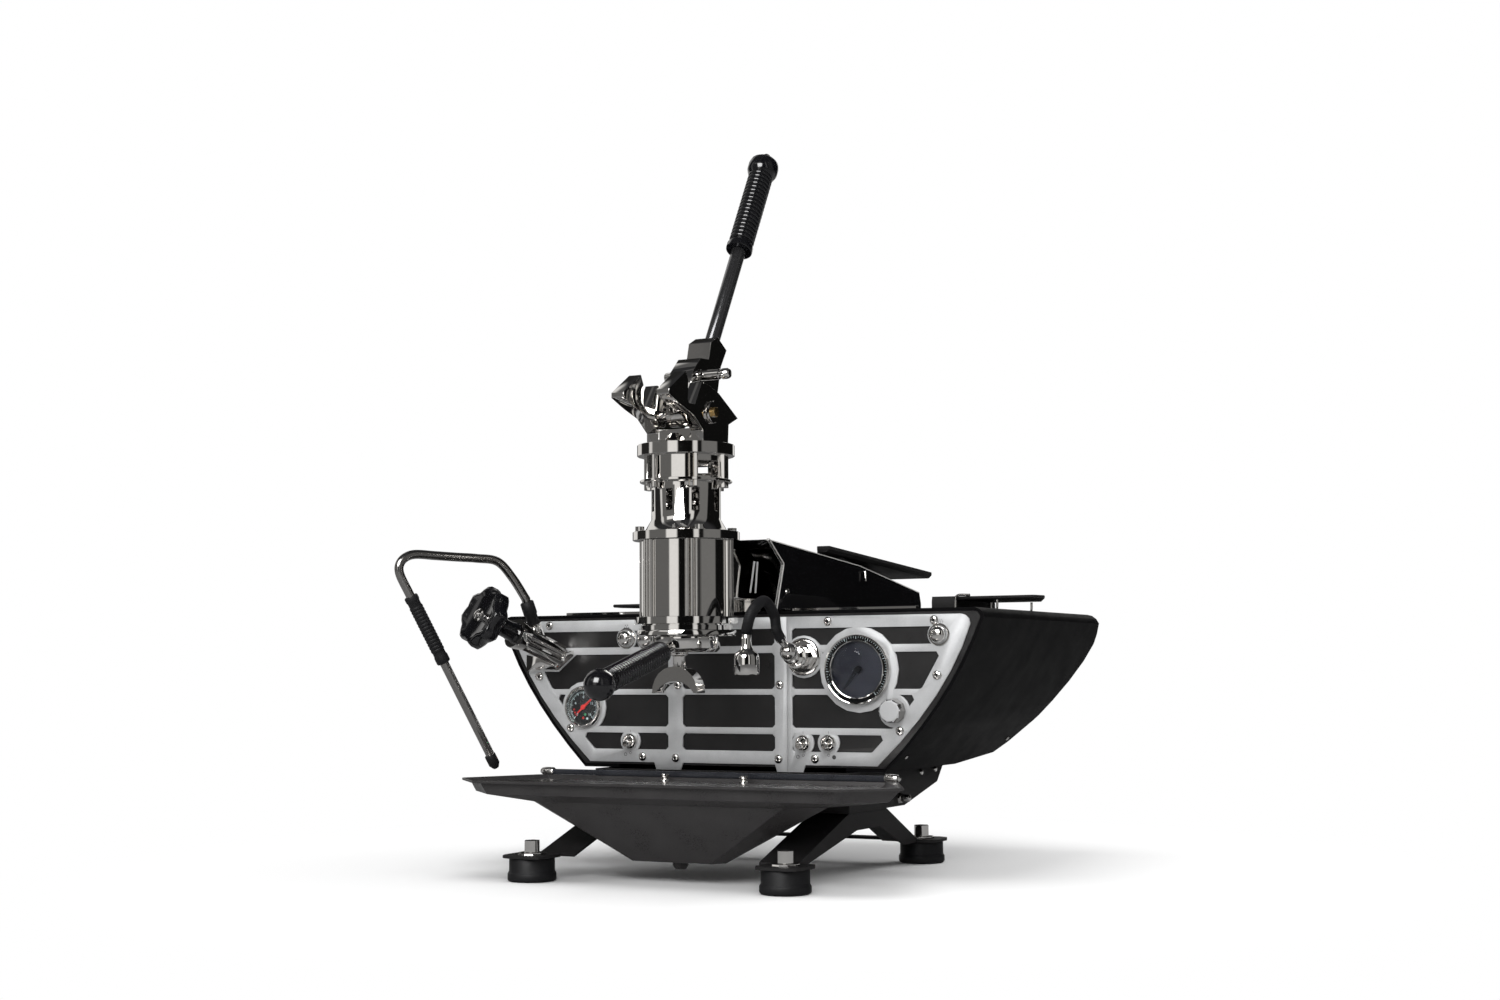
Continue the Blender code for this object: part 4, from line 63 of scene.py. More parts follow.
# Sizes of the model that the fine pieces follow
PANEL_Y = -0.0555
TRIM_THICK = 0.002
TRIM_FACE = PANEL_Y - TRIM_THICK
TRIM_TOP = 0.2657
TRIM_HALF_TOP = 0.2734
TRIM_HALF_BOTTOM = 0.1707
TRIM_BOTTOM = 0.1126
TRIM_BOW = 0.0135
TRIM_BORDER = 0.0165
HULL_TOP = 0.272
GROUP_Y = -0.1464
FOOT_SPOTS = [(x, y) for y in (-0.2122, 0.1231) for x in (-0.1431, 0.1431)]
OUT = (0, -1, 0)
UP = (0, 0, 1)

# ---- materials ----
GRAIN_DETAIL = 3.0
SMUDGE_SCALE = 35.0
SMUDGE_DETAIL = 4.0
NOISE_SPAN = (0.3, 0.7)
MIRROR_ROUGH = 0.02
COAT_ROUGH = 0.05
GLASS_IOR = 1.3
DUST_SCALE = 120.0
DUST_ROUGH = 0.06


def add(tree, kind, inputs=(), **settings):
    """Shader node; each of its inputs is a value, or another node's output that is linked to it."""
    made = tree.nodes.new("ShaderNode" + kind)
    for name, value in settings.items():
        setattr(made, name, value)
    for socket, value in dict(inputs).items():
        if isinstance(value, bpy.types.NodeSocket):
            tree.links.new(value, made.inputs[socket])
        else:
            made.inputs[socket].default_value = value
    return made


def maths(tree, operation, *values):
    """Output of a maths node."""
    return add(tree, "Math", enumerate(values), operation=operation).outputs[0]


def new_material(name, values):
    """Material with a Principled shader whose sockets have the given values."""
    material = bpy.data.materials.new(name)
    material.use_nodes = True
    shader = material.node_tree.nodes["Principled BSDF"]
    for socket, value in values.items():
        shader.inputs[socket].default_value = value
    return material, material.node_tree, shader


def look(name, colour, rough, metal=0.0, coat=0.0, scale=900.0, shade=0.12, spread=0.08, bump=0.00004,
         stretch=(1, 1, 1), level=0.5):
    """Painted, moulded or metal surface: fine grain in colour, gloss and height, and wide soft smudges."""
    material, tree, shader = new_material(name, {
        "Metallic": metal, "Coat Weight": coat, "Coat Roughness": COAT_ROUGH, "Specular IOR Level": level})
    place = add(tree, "TexCoord").outputs["Object"]
    stretched = add(tree, "Mapping", {"Vector": place, "Scale": stretch}).outputs["Vector"]
    grain = add(tree, "TexNoise", {"Vector": stretched, "Scale": scale,
                                   "Detail": GRAIN_DETAIL}).outputs["Fac"]
    smudge = add(tree, "TexNoise", {"Vector": place, "Scale": SMUDGE_SCALE,
                                    "Detail": SMUDGE_DETAIL}).outputs["Fac"]
    both = maths(tree, "MULTIPLY_ADD", smudge, 0.5, maths(tree, "MULTIPLY", grain, 0.5))
    tint = add(tree, "ValToRGB", {"Fac": both})
    for element, position, amount in zip(tint.color_ramp.elements, NOISE_SPAN, (1 - shade, 1 + shade)):
        element.position = position
        element.color = (*[min(1.0, channel * amount) for channel in colour], 1)
    gloss = add(tree, "MapRange", {"Value": both, "From Min": NOISE_SPAN[0], "From Max": NOISE_SPAN[1],
                                   "To Min": max(MIRROR_ROUGH, rough - spread),
                                   "To Max": min(1.0, rough + spread)})
    tree.links.new(tint.outputs["Color"], shader.inputs["Base Color"])
    tree.links.new(gloss.outputs["Result"], shader.inputs["Roughness"])
    if bump:
        raised = add(tree, "Bump", {"Height": grain, "Distance": bump, "Strength": 1.0})
        tree.links.new(raised.outputs["Normal"], shader.inputs["Normal"])
    return material


def glass(name, colour):
    """Clear pane with a trace of dust in its gloss."""
    material, tree, shader = new_material(name, {
        "Base Color": (*colour, 1), "Transmission Weight": 1.0, "IOR": GLASS_IOR})
    place = add(tree, "TexCoord").outputs["Object"]
    dust = add(tree, "TexNoise", {"Vector": place, "Scale": DUST_SCALE}).outputs["Fac"]
    span = add(tree, "MapRange", {"Value": dust, "To Min": 0.0, "To Max": DUST_ROUGH})
    tree.links.new(span.outputs["Result"], shader.inputs["Roughness"])
    return material


POWDER = look("powder_black", (0.0028, 0.0027, 0.0031), 0.50, scale=1300, shade=0.40, spread=0.10,
              bump=0.00018, level=0.035)
LEG_POWDER = look("leg_black", (0.0150, 0.0143, 0.0146), 0.50, scale=1300, shade=0.35, spread=0.10,
                  bump=0.00018, level=0.15)
GLOSS = look("gloss_black", (0.003, 0.003, 0.0035), 0.10, coat=0.4, shade=0.2, spread=0.04, bump=0.0)
FASCIA = look("fascia_charcoal", (0.0075, 0.0068, 0.0072), 0.33, scale=1800, shade=0.30)
TRIM = look("trim_silver", (0.47, 0.475, 0.48), 0.50, metal=0.2, scale=2600, shade=0.20, spread=0.12,
            level=0.25)
CHROME = look("chrome", (0.80, 0.785, 0.765), 0.05, metal=1.0, scale=400, shade=0.03, spread=0.03, bump=0.0)
WAND = look("wand_steel", (0.36, 0.35, 0.34), 0.15, metal=1.0, scale=500, shade=0.06, spread=0.05, bump=0.0)
DARK_CHROME = look("dark_chrome", (0.075, 0.075, 0.078), 0.20, metal=0.8, coat=0.3, scale=500, shade=0.1,
                   spread=0.05, bump=0.0)
STEEL = look("polished_steel", (0.42, 0.405, 0.395), 0.24, metal=1.0, scale=260, bump=0.00002,
             stretch=(9, 9, 0.4))
HANDLE = look("handle_black", (0.004, 0.004, 0.005), 0.13, coat=0.4, scale=600, shade=0.3, spread=0.06,
              bump=0.0)
RUBBER = look("rubber_black", (0.0075, 0.0075, 0.0085), 0.55, scale=1500, shade=0.25, spread=0.10,
              bump=0.00010, level=0.25)
TRAY = look("tray_satin", (0.040, 0.0380, 0.0385), 0.34, metal=0.15, scale=1100, shade=0.2, spread=0.12,
            bump=0.00003, level=0.25)
BAR = look("bar_blue_black", (0.036, 0.039, 0.048), 0.30, metal=0.25, shade=0.2, bump=0.00002)
SHEET_EDGE = look("folded_edge", (0.60, 0.59, 0.57), 0.38, metal=0.35, shade=0.15, bump=0.0)
BRASS = look("aged_brass", (0.62, 0.43, 0.19), 0.28, metal=1.0, scale=300, shade=0.15, spread=0.10,
             bump=0.0)
DIAL_PAINT = {"scale": 1500, "spread": 0.05, "bump": 0.0}
FACE = look("gauge_face", (0.019, 0.020, 0.025), 0.35, shade=0.2, **DIAL_PAINT)
DIAL = look("dial_black", (0.004, 0.004, 0.005), 0.40, shade=0.2, **DIAL_PAINT)
MARK = look("dial_marks", (0.50, 0.60, 0.62), 0.5, shade=0.05, **DIAL_PAINT)
INK = look("panel_ink", (0.030, 0.030, 0.030), 0.5, shade=0.1, **DIAL_PAINT)
RED = look("needle_red", (0.62, 0.025, 0.02), 0.35, shade=0.1, bump=0.0)
GREEN = look("dial_green", (0.05, 0.38, 0.14), 0.4, shade=0.1, bump=0.0)
# Dark needle colour, also used as painted shade for the screws' hex sockets
DARK = look("needle_dark_and_socket_shade", (0.02, 0.02, 0.02), 0.35, metal=0.8, shade=0.2, spread=0.1, bump=0.0)
GLASS = glass("dial_glass", (0.90, 0.92, 0.92))
SMOKED = glass("smoked_glass", (0.72, 0.74, 0.80))


# ---- shapes ----
BOX_SIDES = ((0, 1, 3, 2), (4, 6, 7, 5), (0, 4, 5, 1), (2, 3, 7, 6), (0, 2, 6, 4), (1, 5, 7, 3))
STEEP = 0.9
TUBE_SMOOTH = 40.0


def placed(name, data):
    """Object in the scene that holds a mesh, text, lamp or camera."""
    item = bpy.data.objects.new(name, data)
    bpy.context.scene.collection.objects.link(item)
    return item


def basis(direction):
    """Unit vectors across, up from and along a direction."""
    along = Vector(direction).normalized()
    guide = Vector((0, 0, 1)) if abs(along.z) < STEEP else Vector((1, 0, 0))
    side = guide.cross(along).normalized()
    return side, along.cross(side), along


def piece(name, points, faces, material, body, smooth=35.0):
    """Mesh object that rides on a body; its edges sharper than smooth degrees stay crisp."""
    mesh = bpy.data.meshes.new(name)
    mesh.from_pydata([tuple(point) for point in points], [], faces)
    mesh.validate()
    mesh.shade_smooth()
    mesh.set_sharp_from_angle(angle=math.radians(smooth))
    mesh.materials.append(material)
    item = placed(name, mesh)
    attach(item, body)
    return item


def ring_of(centre, side, up, radius, steps):
    """Points round a centre."""
    turns = [2 * math.pi * step / steps for step in range(steps)]
    return [centre + (side * math.cos(turn) + up * math.sin(turn)) * radius for turn in turns]


def lathe_parts(profile, centre, direction, steps, offset=0, closed=False):
    """Points and faces of a turned shape, ends closed where the radius is 0 or by flat discs."""
    side, up, along = basis(direction)
    centre = Vector(centre)
    points, rings = [], []
    for radius, height in profile:
        start = offset + len(points)
        if radius == 0:
            points.append(centre + along * height)
            rings.append([start] * steps)
        else:
            points += [point + along * height for point in ring_of(centre, side, up, radius, steps)]
            rings.append(list(range(start, start + steps)))
    pairs = list(zip(rings, rings[1:] + rings[:1] if closed else rings[1:]))
    faces = []
    for lower, upper in pairs:
        for step in range(steps):
            after = (step + 1) % steps
            face = list(dict.fromkeys([lower[step], lower[after], upper[after], upper[step]]))
            if len(face) > 2:
                faces.append(face)
    if not closed:
        if rings[0][0] != rings[0][1]:
            faces.append(list(reversed(rings[0])))
        if rings[-1][0] != rings[-1][1]:
            faces.append(rings[-1])
    return points, faces


def lathe(name, profile, centre, direction, material, body, steps=48, closed=False, smooth=35.0):
    """Turned piece."""
    points, faces = lathe_parts(profile, centre, direction, steps, 0, closed)
    return piece(name, points, faces, material, body, smooth)


def several(name, parts, material, body, smooth=35.0):
    """One piece from a list of functions that each give points and faces from an offset."""
    points, faces = [], []
    for part in parts:
        more, added = part(len(points))
        points += more
        faces += added
    return piece(name, points, faces, material, body, smooth)


def disc(reach, low, high):
    """Profile of a flat disc."""
    return [(0, low), (reach, low), (reach, high), (0, high)]


def sized(shape, wide, high=1, base=0):
    """Profile from a shape in shares of a radius and of a height above a base."""
    return [(wide * share, base + high * rise) for share, rise in shape]


def on_panel(spot, y=PANEL_Y):
    """Point of the panel's plane, or of one before it, from X and Z."""
    return spot[0], y, spot[1]


def bar_on_panel(centre, heading, inner, outer, half, low, high, offset=0):
    """Flat mark on the panel's plane: from inner to outer along a heading, raised from low to high."""
    ahead = Vector((math.cos(heading), 0, math.sin(heading)))
    across = Vector((-math.sin(heading), 0, math.cos(heading)))
    middle = Vector(on_panel(centre, 0))
    points = []
    for along in (inner, outer):
        for side in (-half, half):
            spot = middle + ahead * along + across * side
            points += [Vector((spot.x, PANEL_Y - depth, spot.z)) for depth in (low, high)]
    return points, [[corner + offset for corner in side] for side in BOX_SIDES]


def smooth_path(points, steps):
    """Even points along a curve that passes through the given ones."""
    knots = [Vector(point) for point in points]
    knots = [knots[0] * 2 - knots[1]] + knots + [knots[-1] * 2 - knots[-2]]
    made = []
    for index in range(1, len(knots) - 2):
        before, start, end, after = knots[index - 1:index + 3]
        for step in range(steps):
            share = step / steps
            made.append(0.5 * (2 * start + (end - before) * share
                               + (2 * before - 5 * start + 4 * end - after) * share ** 2
                               + (3 * start - before - 3 * end + after) * share ** 3))
    made.append(knots[-2])
    return made


def tube(name, path, radii, material, body, sides=24):
    """Round bar along a path, closed at both ends; one radius, or one for each point."""
    if not isinstance(radii, list):
        radii = [radii] * len(path)
    points, faces = [], []
    side, up, _ = basis(path[1] - path[0])
    for index, (point, radius) in enumerate(zip(path, radii)):
        aim = (path[min(index + 1, len(path) - 1)] - path[max(index - 1, 0)]).normalized()
        side = (side - aim * side.dot(aim)).normalized()
        up = aim.cross(side)
        points += ring_of(point, side, up, radius, sides)
        if index:
            start = (index - 1) * sides
            for step in range(sides):
                after = (step + 1) % sides
                faces.append([start + step, start + after, start + sides + after, start + sides + step])
    faces.append(list(reversed(range(sides))))
    faces.append(list(range(len(points) - sides, len(points))))
    return piece(name, points, faces, material, body, TUBE_SMOOTH)


# ---- the model's own pieces ----
WELD_REACH = 0.00001
CHAMFER_ANGLE = math.radians(42)
SHOWING = 0.0001
LEG_TOP = 0.0264
FOOT_BOLT_R = 0.0142
SADDLE_TOP = 0.1265
COWL_HALF = 0.0621
PIVOT_FACE = 0.0358
TEMP_KNOB_FACE = PANEL_Y - 0.0150
GRATE_TOP = 0.0962
BAR_END = 0.1958


def dress(names, base, *patches, edge=0.0004, smooth=32.0, segments=1):
    """Material, fine chamfers and smooth round faces; a patch is (material, test of a face's centre)."""
    for name in names.split():
        item = frame["nodes"][name]
        mesh = item.data
        if "custom_normal" in mesh.attributes:
            mesh.attributes.remove(mesh.attributes["custom_normal"])
        mesh.materials.clear()
        for material in (base, *[material for material, _ in patches]):
            mesh.materials.append(material)
        for polygon in mesh.polygons:
            polygon.use_smooth = True
            polygon.material_index = max(
                [0] + [index for index, (_, test) in enumerate(patches, 1) if test(polygon.center)])
        item.modifiers.new("weld", "WELD").merge_threshold = WELD_REACH
        if edge:
            chamfer = item.modifiers.new("chamfer", "BEVEL")
            chamfer.width = edge
            chamfer.segments = segments
            chamfer.limit_method = "ANGLE"
            chamfer.angle_limit = CHAMFER_ANGLE
        split = item.modifiers.new("split", "EDGE_SPLIT")
        split.split_angle = math.radians(smooth)
        split.use_edge_sharp = False


def on_foot_bolt(c):
    """Whether a face's centre lies on one of the feet's bolts."""
    return c.z > LEG_TOP and any((c.x - x) ** 2 + (c.y - y) ** 2 < FOOT_BOLT_R ** 2 for x, y in FOOT_SPOTS)


def dress_all():
    """Materials of all nodes that are shown as they are."""
    dress("hull_left hull_right rear_cover", POWDER, edge=0.0006)
    dress("top_deck", POWDER, (CHROME, lambda c: c.z > HULL_TOP + 2 * SHOWING))
    dress("front_fascia", FASCIA)
    dress("trim_left trim_right", TRIM, (CHROME, lambda c: c.y < TRIM_FACE - SHOWING), edge=0.0002, smooth=62)
    dress("cowl", GLOSS, (CHROME, lambda c: abs(c.x) > COWL_HALF))
    dress("cup_shelf", LEG_POWDER, edge=0.0006)
    dress("chassis_frame", LEG_POWDER)
    dress("legs", LEG_POWDER, (CHROME, on_foot_bolt))
    dress("foot_front_left foot_front_right foot_rear_left foot_rear_right", RUBBER, edge=0.0008)
    dress("steam_boiler", BRASS, (POWDER, lambda c: c.z < SADDLE_TOP))
    dress("pump", STEEL)
    dress("lever_fork lever_yoke", CHROME, edge=0.0022, segments=4, smooth=40)
    dress("group_mount group_head spring_housing stop_pin grip_screw portafilter_body portafilter_spout"
          " steam_valve", CHROME, edge=0.0005)
    dress("fork_pin", CHROME, (BRASS, lambda c: abs(c.x) > PIVOT_FACE))
    dress("shower_screen filter_basket piston", STEEL, edge=0.0002)
    dress("main_spring", STEEL, edge=0, smooth=80)
    dress("lever_rod", DARK_CHROME, edge=0.0003)
    dress("wand_collar wand_tip", RUBBER, edge=0.0002, smooth=46)
    dress("steam_knob", HANDLE, edge=0.0006, smooth=50)
    dress("main_gauge small_gauge", CHROME, edge=0.0003)
    dress("main_gauge_needle", DARK, edge=0)
    dress("small_gauge_needle", RED, edge=0)
    dress("temp_knob", WAND, (TRIM, lambda c: c.y < TEMP_KNOB_FACE), smooth=20)
    dress("rinse_button brew_button steam_button toggle_left toggle_mid toggle_right", CHROME, edge=0,
          smooth=50)
    dress("drip_tray", TRAY, edge=0.0005, smooth=20)
    dress("tray_grate", STEEL, (CHROME, lambda c: c.z > GRATE_TOP), edge=0.0002)
    dress("splash_bar", BAR, (CHROME, lambda c: abs(c.x) > BAR_END))


# ---- fine pieces on the panel ----
SCREW_R = 0.0038
SCREW_HEAD = 0.002
SCREW_CAP = ((1.22, 0), (1.22, 0.35), (1.05, 0.80), (0.7, 1.06), (0.45, 1.1), (0.45, 1.0), (0, 1.0))
SCREW_SIDE_LEVELS = (0.2046, 0.1485)
SCREW_SPOTS = ((0.2349, 0.2598), (-0.2242, 0.2608), (0.1170, 0.2602), (-0.1046, 0.1186),
               (-0.0638, 0.1177), (0.0590, 0.1183), (0.1011, 0.1192), (-0.0610, 0.1950),
               (0.0610, 0.1950))
# The hex socket is a flat dark disc, painted shade in place of a hollow
SOCKET_R = SCREW_R * 0.45 * 0.95
SOCKET_FACE = TRIM_FACE - SCREW_HEAD - 0.00006
ON_TRIM = TRIM_FACE - 0.00005
THIN = 0.0001

BUTTONS = {"rinse": (-0.1246, 0.2457), "brew": (-0.0988, 0.2438), "steam": (0.2401, 0.2451)}
BUTTON_R = 0.0085
BUTTON_RING = ((1.08, 0), (1.34, 0), (1.34, 0.0007), (1.273, 0.0012), (1.1124, 0.0012), (1.08, 0.0008))
TOGGLES = {"left": (-0.1197, 0.1350), "mid": (0.0877, 0.1353), "right": (0.1168, 0.1357)}
INK_LOW = TRIM_THICK - 0.00002
INK_HIGH = TRIM_THICK + 0.00006
LINE_HALF = 0.00018
DROP_SPOTS = ((-0.0026, 0.0116), (0.0, 0.0122), (0.0026, 0.0116), (-0.0013, 0.0142), (0.0013, 0.0142))

MAIN_GAUGE = (0.1516, 0.2105)
MAIN_GAUGE_R = 0.036
MAIN_SPAN = (230, -50)
SMALL_GAUGE = (-0.1788, 0.1710)
SMALL_GAUGE_R = 0.0232
SMALL_SPAN = (225, -45)
RED_SPAN = (225, 190)
TAIL_HEADING = 220
DIAL_INSET = 0.0035 * 1.3
GAUGE_PROUD = 0.008
GAUGE_LIP_LOW = GAUGE_PROUD + 0.0001
DIAL_FACE = 0.003
DIAL_MARK = DIAL_FACE + 0.00014
NEEDLE_LOW = DIAL_FACE + 0.0016
SHORT_TICK_START = 0.4
WHOLE_TICK_WIDER = 1.7
NUMBER_THICK = 0.00003
SMALL_DOTS = ((-0.02, -0.62, RED), (0.12, -0.42, GREEN), (0.26, -0.66, MARK))
LIP = ((0.940, 0), (0.998, -0.0016), (1.002, -0.0004), (0.990, 0.0009), (0.970, 0.0015),
       (0.950, 0.0012), (0.940, 0.0006))
BAND = ((0.825, 0), (0.943, 0), (0.943, 0.0007), (0.825, 0.0002))
INNER_RIM = ((0.785, -0.0014), (0.832, -0.0006), (0.832, 0.0004), (0.822, 0.0008), (0.808, 0.0006),
             (0.790, -0.0004))


def turned(name, profile, spot, material, body="machine", steps=48, closed=False,
           y=PANEL_Y):
    """Piece turned round an axis that stands out from the panel."""
    lathe(name, profile, on_panel(spot, y), OUT, material, body, steps, closed)


def trim_half(z, inset):
    """Half the trim's width at a height, less an inset from its bowed edge."""
    share = (z - TRIM_BOTTOM) / (TRIM_TOP - TRIM_BOTTOM)
    return (TRIM_HALF_BOTTOM + (TRIM_HALF_TOP - TRIM_HALF_BOTTOM) * share
            + TRIM_BOW * 4 * share * (1 - share) - inset)


def screws():
    """Domed cap over each of the panel's screw heads, with a flat dark hexagon on top as painted socket
    shade.
    """
    spots = list(SCREW_SPOTS)
    for z in SCREW_SIDE_LEVELS:
        x = trim_half(z, TRIM_BORDER / 2)
        spots += [(x, z), (-x, z)]
    for name, profile, y, steps, material in (
            ("screw_caps", sized(SCREW_CAP, SCREW_R, SCREW_HEAD), ON_TRIM, 20, CHROME),
            ("screw_socket_shade", disc(SOCKET_R, 0, THIN), SOCKET_FACE, 6, DARK)):
        several(name, [lambda n, s=spot: lathe_parts(profile, on_panel(s, y), OUT, steps, n)
                       for spot in spots], material, "machine")


def ticks(name, spot, span, count, reach, shares, low, material, whole_every=5):
    """Scale of marks round a gauge; shares of its reach are the inner end, outer end and half width."""
    inner, outer, half = [reach * share for share in shares]
    marks = []
    for tick in range(count + 1):
        heading = math.radians(span[0] + (span[1] - span[0]) * tick / count)
        whole = tick % whole_every == 0
        start = inner if whole else inner + (outer - inner) * SHORT_TICK_START
        wide = half * (WHOLE_TICK_WIDER if whole else 1.0)
        marks.append(lambda n, h=heading, s=start, w=wide: bar_on_panel(
            spot, h, s, outer, w, low, low + THIN, n))
    several(name, marks, material, "machine")


def numbers(name, spot, span, values, ring, size, low):
    """Plain numbers round a gauge."""
    for index, value in enumerate(values):
        heading = math.radians(span[0] + (span[1] - span[0]) * index / (len(values) - 1))
        words = bpy.data.curves.new(f"{name}_{index}", "FONT")
        words.body = value
        words.size = size
        words.align_x = words.align_y = "CENTER"
        words.extrude = NUMBER_THICK
        words.materials.append(MARK)
        item = placed(f"{name}_{index}", words)
        item.location = (spot[0] + math.cos(heading) * ring, PANEL_Y - low - NUMBER_THICK,
                         spot[1] + math.sin(heading) * ring)
        item.rotation_euler = (math.pi / 2, 0, 0)
        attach(item, "machine")


def plate_and_hub(gauge, needle, spot, reach, hub, paint, metal):
    """Thin disc on a gauge's recessed floor, and the hub that turns with its needle."""
    turned(f"{gauge}_dial", disc(reach, DIAL_FACE + THIN * 0.5, DIAL_FACE + THIN * 1.5), spot, paint)
    shape = ((0, 0), (hub, 0), (hub - 0.01, 0.0006), (0, 0.0008))
    turned(f"{needle}_hub", sized(shape, reach, 1, NEEDLE_LOW), spot, metal, needle, 32)


def small_gauge():
    """Black dial with pale marks, three dots, a glass and the needle's hub and tail."""
    spot, reach = SMALL_GAUGE, SMALL_GAUGE_R - DIAL_INSET
    plate_and_hub("small_gauge", "small_needle", spot, reach, 0.15, DIAL, RED)
    ticks("small_gauge_ticks", spot, SMALL_SPAN, 50, reach, (0.76, 0.94, 0.010), DIAL_MARK, MARK)
    ticks("small_gauge_red_ticks", spot, RED_SPAN, 4, reach, (0.60, 0.72, 0.016), DIAL_MARK, RED, 2)
    numbers("small_gauge_number", spot, SMALL_SPAN, ("0", "4", "8", "12", "16"), reach * 0.60, reach * 0.22,
            DIAL_MARK)
    for index, (across, up, paint) in enumerate(SMALL_DOTS):
        turned(f"small_gauge_dot_{index}", disc(reach * 0.07, DIAL_MARK, DIAL_MARK + THIN),
               (spot[0] + reach * across, spot[1] + reach * up), paint, steps=16)
    turned("small_gauge_glass", disc(reach * 1.03, GAUGE_PROUD * 0.80, GAUGE_PROUD * 0.86), spot, GLASS,
           steps=64)
    several("small_needle_tail", [lambda n: bar_on_panel(
        spot, math.radians(TAIL_HEADING), reach * 0.05, reach * 0.52, reach * 0.045, NEEDLE_LOW - 0.0008,
        NEEDLE_LOW - 0.0002, n)], RED, "small_needle")


def main_gauge():
    """Bright lip, black ring with marks and numbers, and a dark glass over the needle."""
    spot, radius, low = MAIN_GAUGE, MAIN_GAUGE_R, GAUGE_LIP_LOW
    plate_and_hub("main_gauge", "main_needle", spot, radius - DIAL_INSET, 0.13, FACE, DARK)
    for name, shape, material, slot in (("lip", LIP, CHROME, "chrome"), ("band", BAND, GLOSS, "gloss_black"),
                                        ("inner_rim", INNER_RIM, CHROME, "chrome")):
        turned(f"main_gauge_{name}", sized(shape, radius, 1, low), spot, material, "machine", 80, True)
    mark = low + 0.00066
    ticks("main_gauge_ticks", spot, MAIN_SPAN, 60, radius, (0.868, 0.938, 0.0035), mark, MARK)
    numbers("main_gauge_number", spot, MAIN_SPAN, ("0", "1", "2", "3", "4", "5", "6", "7"), radius * 0.848,
            radius * 0.055, mark - 0.0002)
    turned("main_gauge_glass", disc(radius * 0.808, low - 0.0010, low - 0.0002), spot, SMOKED, steps=72)


def button_rings():
    """Chrome ring round each push button."""
    for name, spot in BUTTONS.items():
        turned(f"{name}_button_ring", sized(BUTTON_RING, BUTTON_R), spot, CHROME, "machine", 40,
               True, ON_TRIM)


def ink_ring(spot, across, rise, radius, half):
    """Function that gives a thin printed ring on the trim, off to the side of a switch."""
    profile = [(radius - half, TRIM_THICK), (radius + half, TRIM_THICK), (radius + half, INK_HIGH),
               (radius - half, INK_HIGH)]
    centre = on_panel((spot[0] + across, spot[1] + rise))
    return lambda n: lathe_parts(profile, centre, OUT, 24, n, closed=True)


def ink_line(spot, across, rise, heading, inner, outer, half=LINE_HALF):
    """Function that gives a thin printed line on the trim, off to the side of a switch."""
    centre = (spot[0] + across, spot[1] + rise)
    return lambda n: bar_on_panel(centre, math.radians(heading), inner, outer, half, INK_LOW, INK_HIGH, n)


def panel_marks():
    """Small printed lines, rings and dots by the switches and buttons."""
    marks = []
    for spot in TOGGLES.values():
        marks += [ink_line(spot, 0, 0, 90, 0.0094, 0.0118), ink_ring(spot, 0, -0.0125, 0.0013, 0.0002)]
    for name in ("left", "mid"):
        marks += [ink_ring(TOGGLES[name], -0.0062, -0.0142, 0.0017, 0.00025),
                  ink_line(TOGGLES[name], -0.0062, -0.0142, 40, 0.0, 0.0017)]
    marks.append(ink_ring(TOGGLES["right"], 0.0060, -0.0146, 0.0012, 0.0010))
    marks += [ink_ring(BUTTONS["rinse"], across, rise, 0.0003, 0.00025) for across, rise in DROP_SPOTS]
    marks += [ink_line(BUTTONS["steam"], across, rise, heading, 0.0, 0.0019, 0.0002)
              for across in (-0.0007, 0.0015, 0.0037) for heading, rise in ((65, 0.0118), (115, 0.0136))]
    several("panel_marks", marks, INK, "machine")


# ---- lever grip and filter handle ----
LEVER_BASE = Vector((0, -0.0915, 0.553))
LEVER_LEAN = math.radians(29.7)
GRIP_START = 0.1293
GRIP_LENGTH = 0.1310
GRIP_R = 0.0125
GRIP_RIB = 0.0014
GRIP_RIBS = 18
GRIP_COLLAR = GRIP_LENGTH * 0.06
GRIP_FOOT = ((0, 0), (0.0139, 0), (0.0145, 0.0007), (0.0145, GRIP_COLLAR * 0.85), (0.0139, GRIP_COLLAR),
             (GRIP_R, GRIP_COLLAR * 1.4))
GRIP_HEAD_R = 0.0170
GRIP_HEAD = ((0.93, 0.858), (1, 0.885), (1, 0.94), (0.93, 0.975), (0.74, 1), (0, 1))
HANDLE_START = Vector((0, -0.1964, 0.2290))
HANDLE_BALL = Vector((0, -0.3141, 0.1977))
HANDLE_R = 0.0112
HANDLE_FOOT = ((0, 0.0003), (HANDLE_R * 0.9, 0.0003), (HANDLE_R, 0.0016), (HANDLE_R, 0.0040))
HANDLE_RIBS = 22
HANDLE_RIBS_START = 0.0045
HANDLE_GROOVE = 0.0008
HANDLE_RIB = 0.0018
BALL_R = 0.0154
BALL_ROOM = BALL_R * 1.25
BALL_NECK = math.radians(8)
BALL_STEPS = 13
RIB_SHAPE = ((0.0, 0.0), (0.06, 0.45), (0.2, 0.80), (0.37, 0.97), (0.5, 1.0), (0.63, 0.97), (0.8, 0.80),
             (0.94, 0.45))


def ribbed(start, length, radius, rib, count):
    """Profile of round ribs between start and start + length."""
    pitch = length / count
    made = [(radius + rib * height, start + index * pitch + pitch * share)
            for index in range(count) for share, height in RIB_SHAPE]
    return made + [(radius, start + length)]


def lever_grip():
    """Ribbed grip with a collar and a rounded head."""
    aim = Vector((0, math.sin(LEVER_LEAN), math.cos(LEVER_LEAN)))
    profile = list(GRIP_FOOT)
    profile += ribbed(GRIP_COLLAR * 1.5, GRIP_LENGTH * 0.74, GRIP_R - GRIP_RIB / 2, GRIP_RIB * 1.5, GRIP_RIBS)
    profile += [(GRIP_R, GRIP_LENGTH * 0.83)] + sized(GRIP_HEAD, GRIP_HEAD_R, GRIP_LENGTH)
    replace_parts(lathe("grip_fine", profile, LEVER_BASE + aim * GRIP_START, aim, HANDLE, "lever",
                      40), "lever_grip")


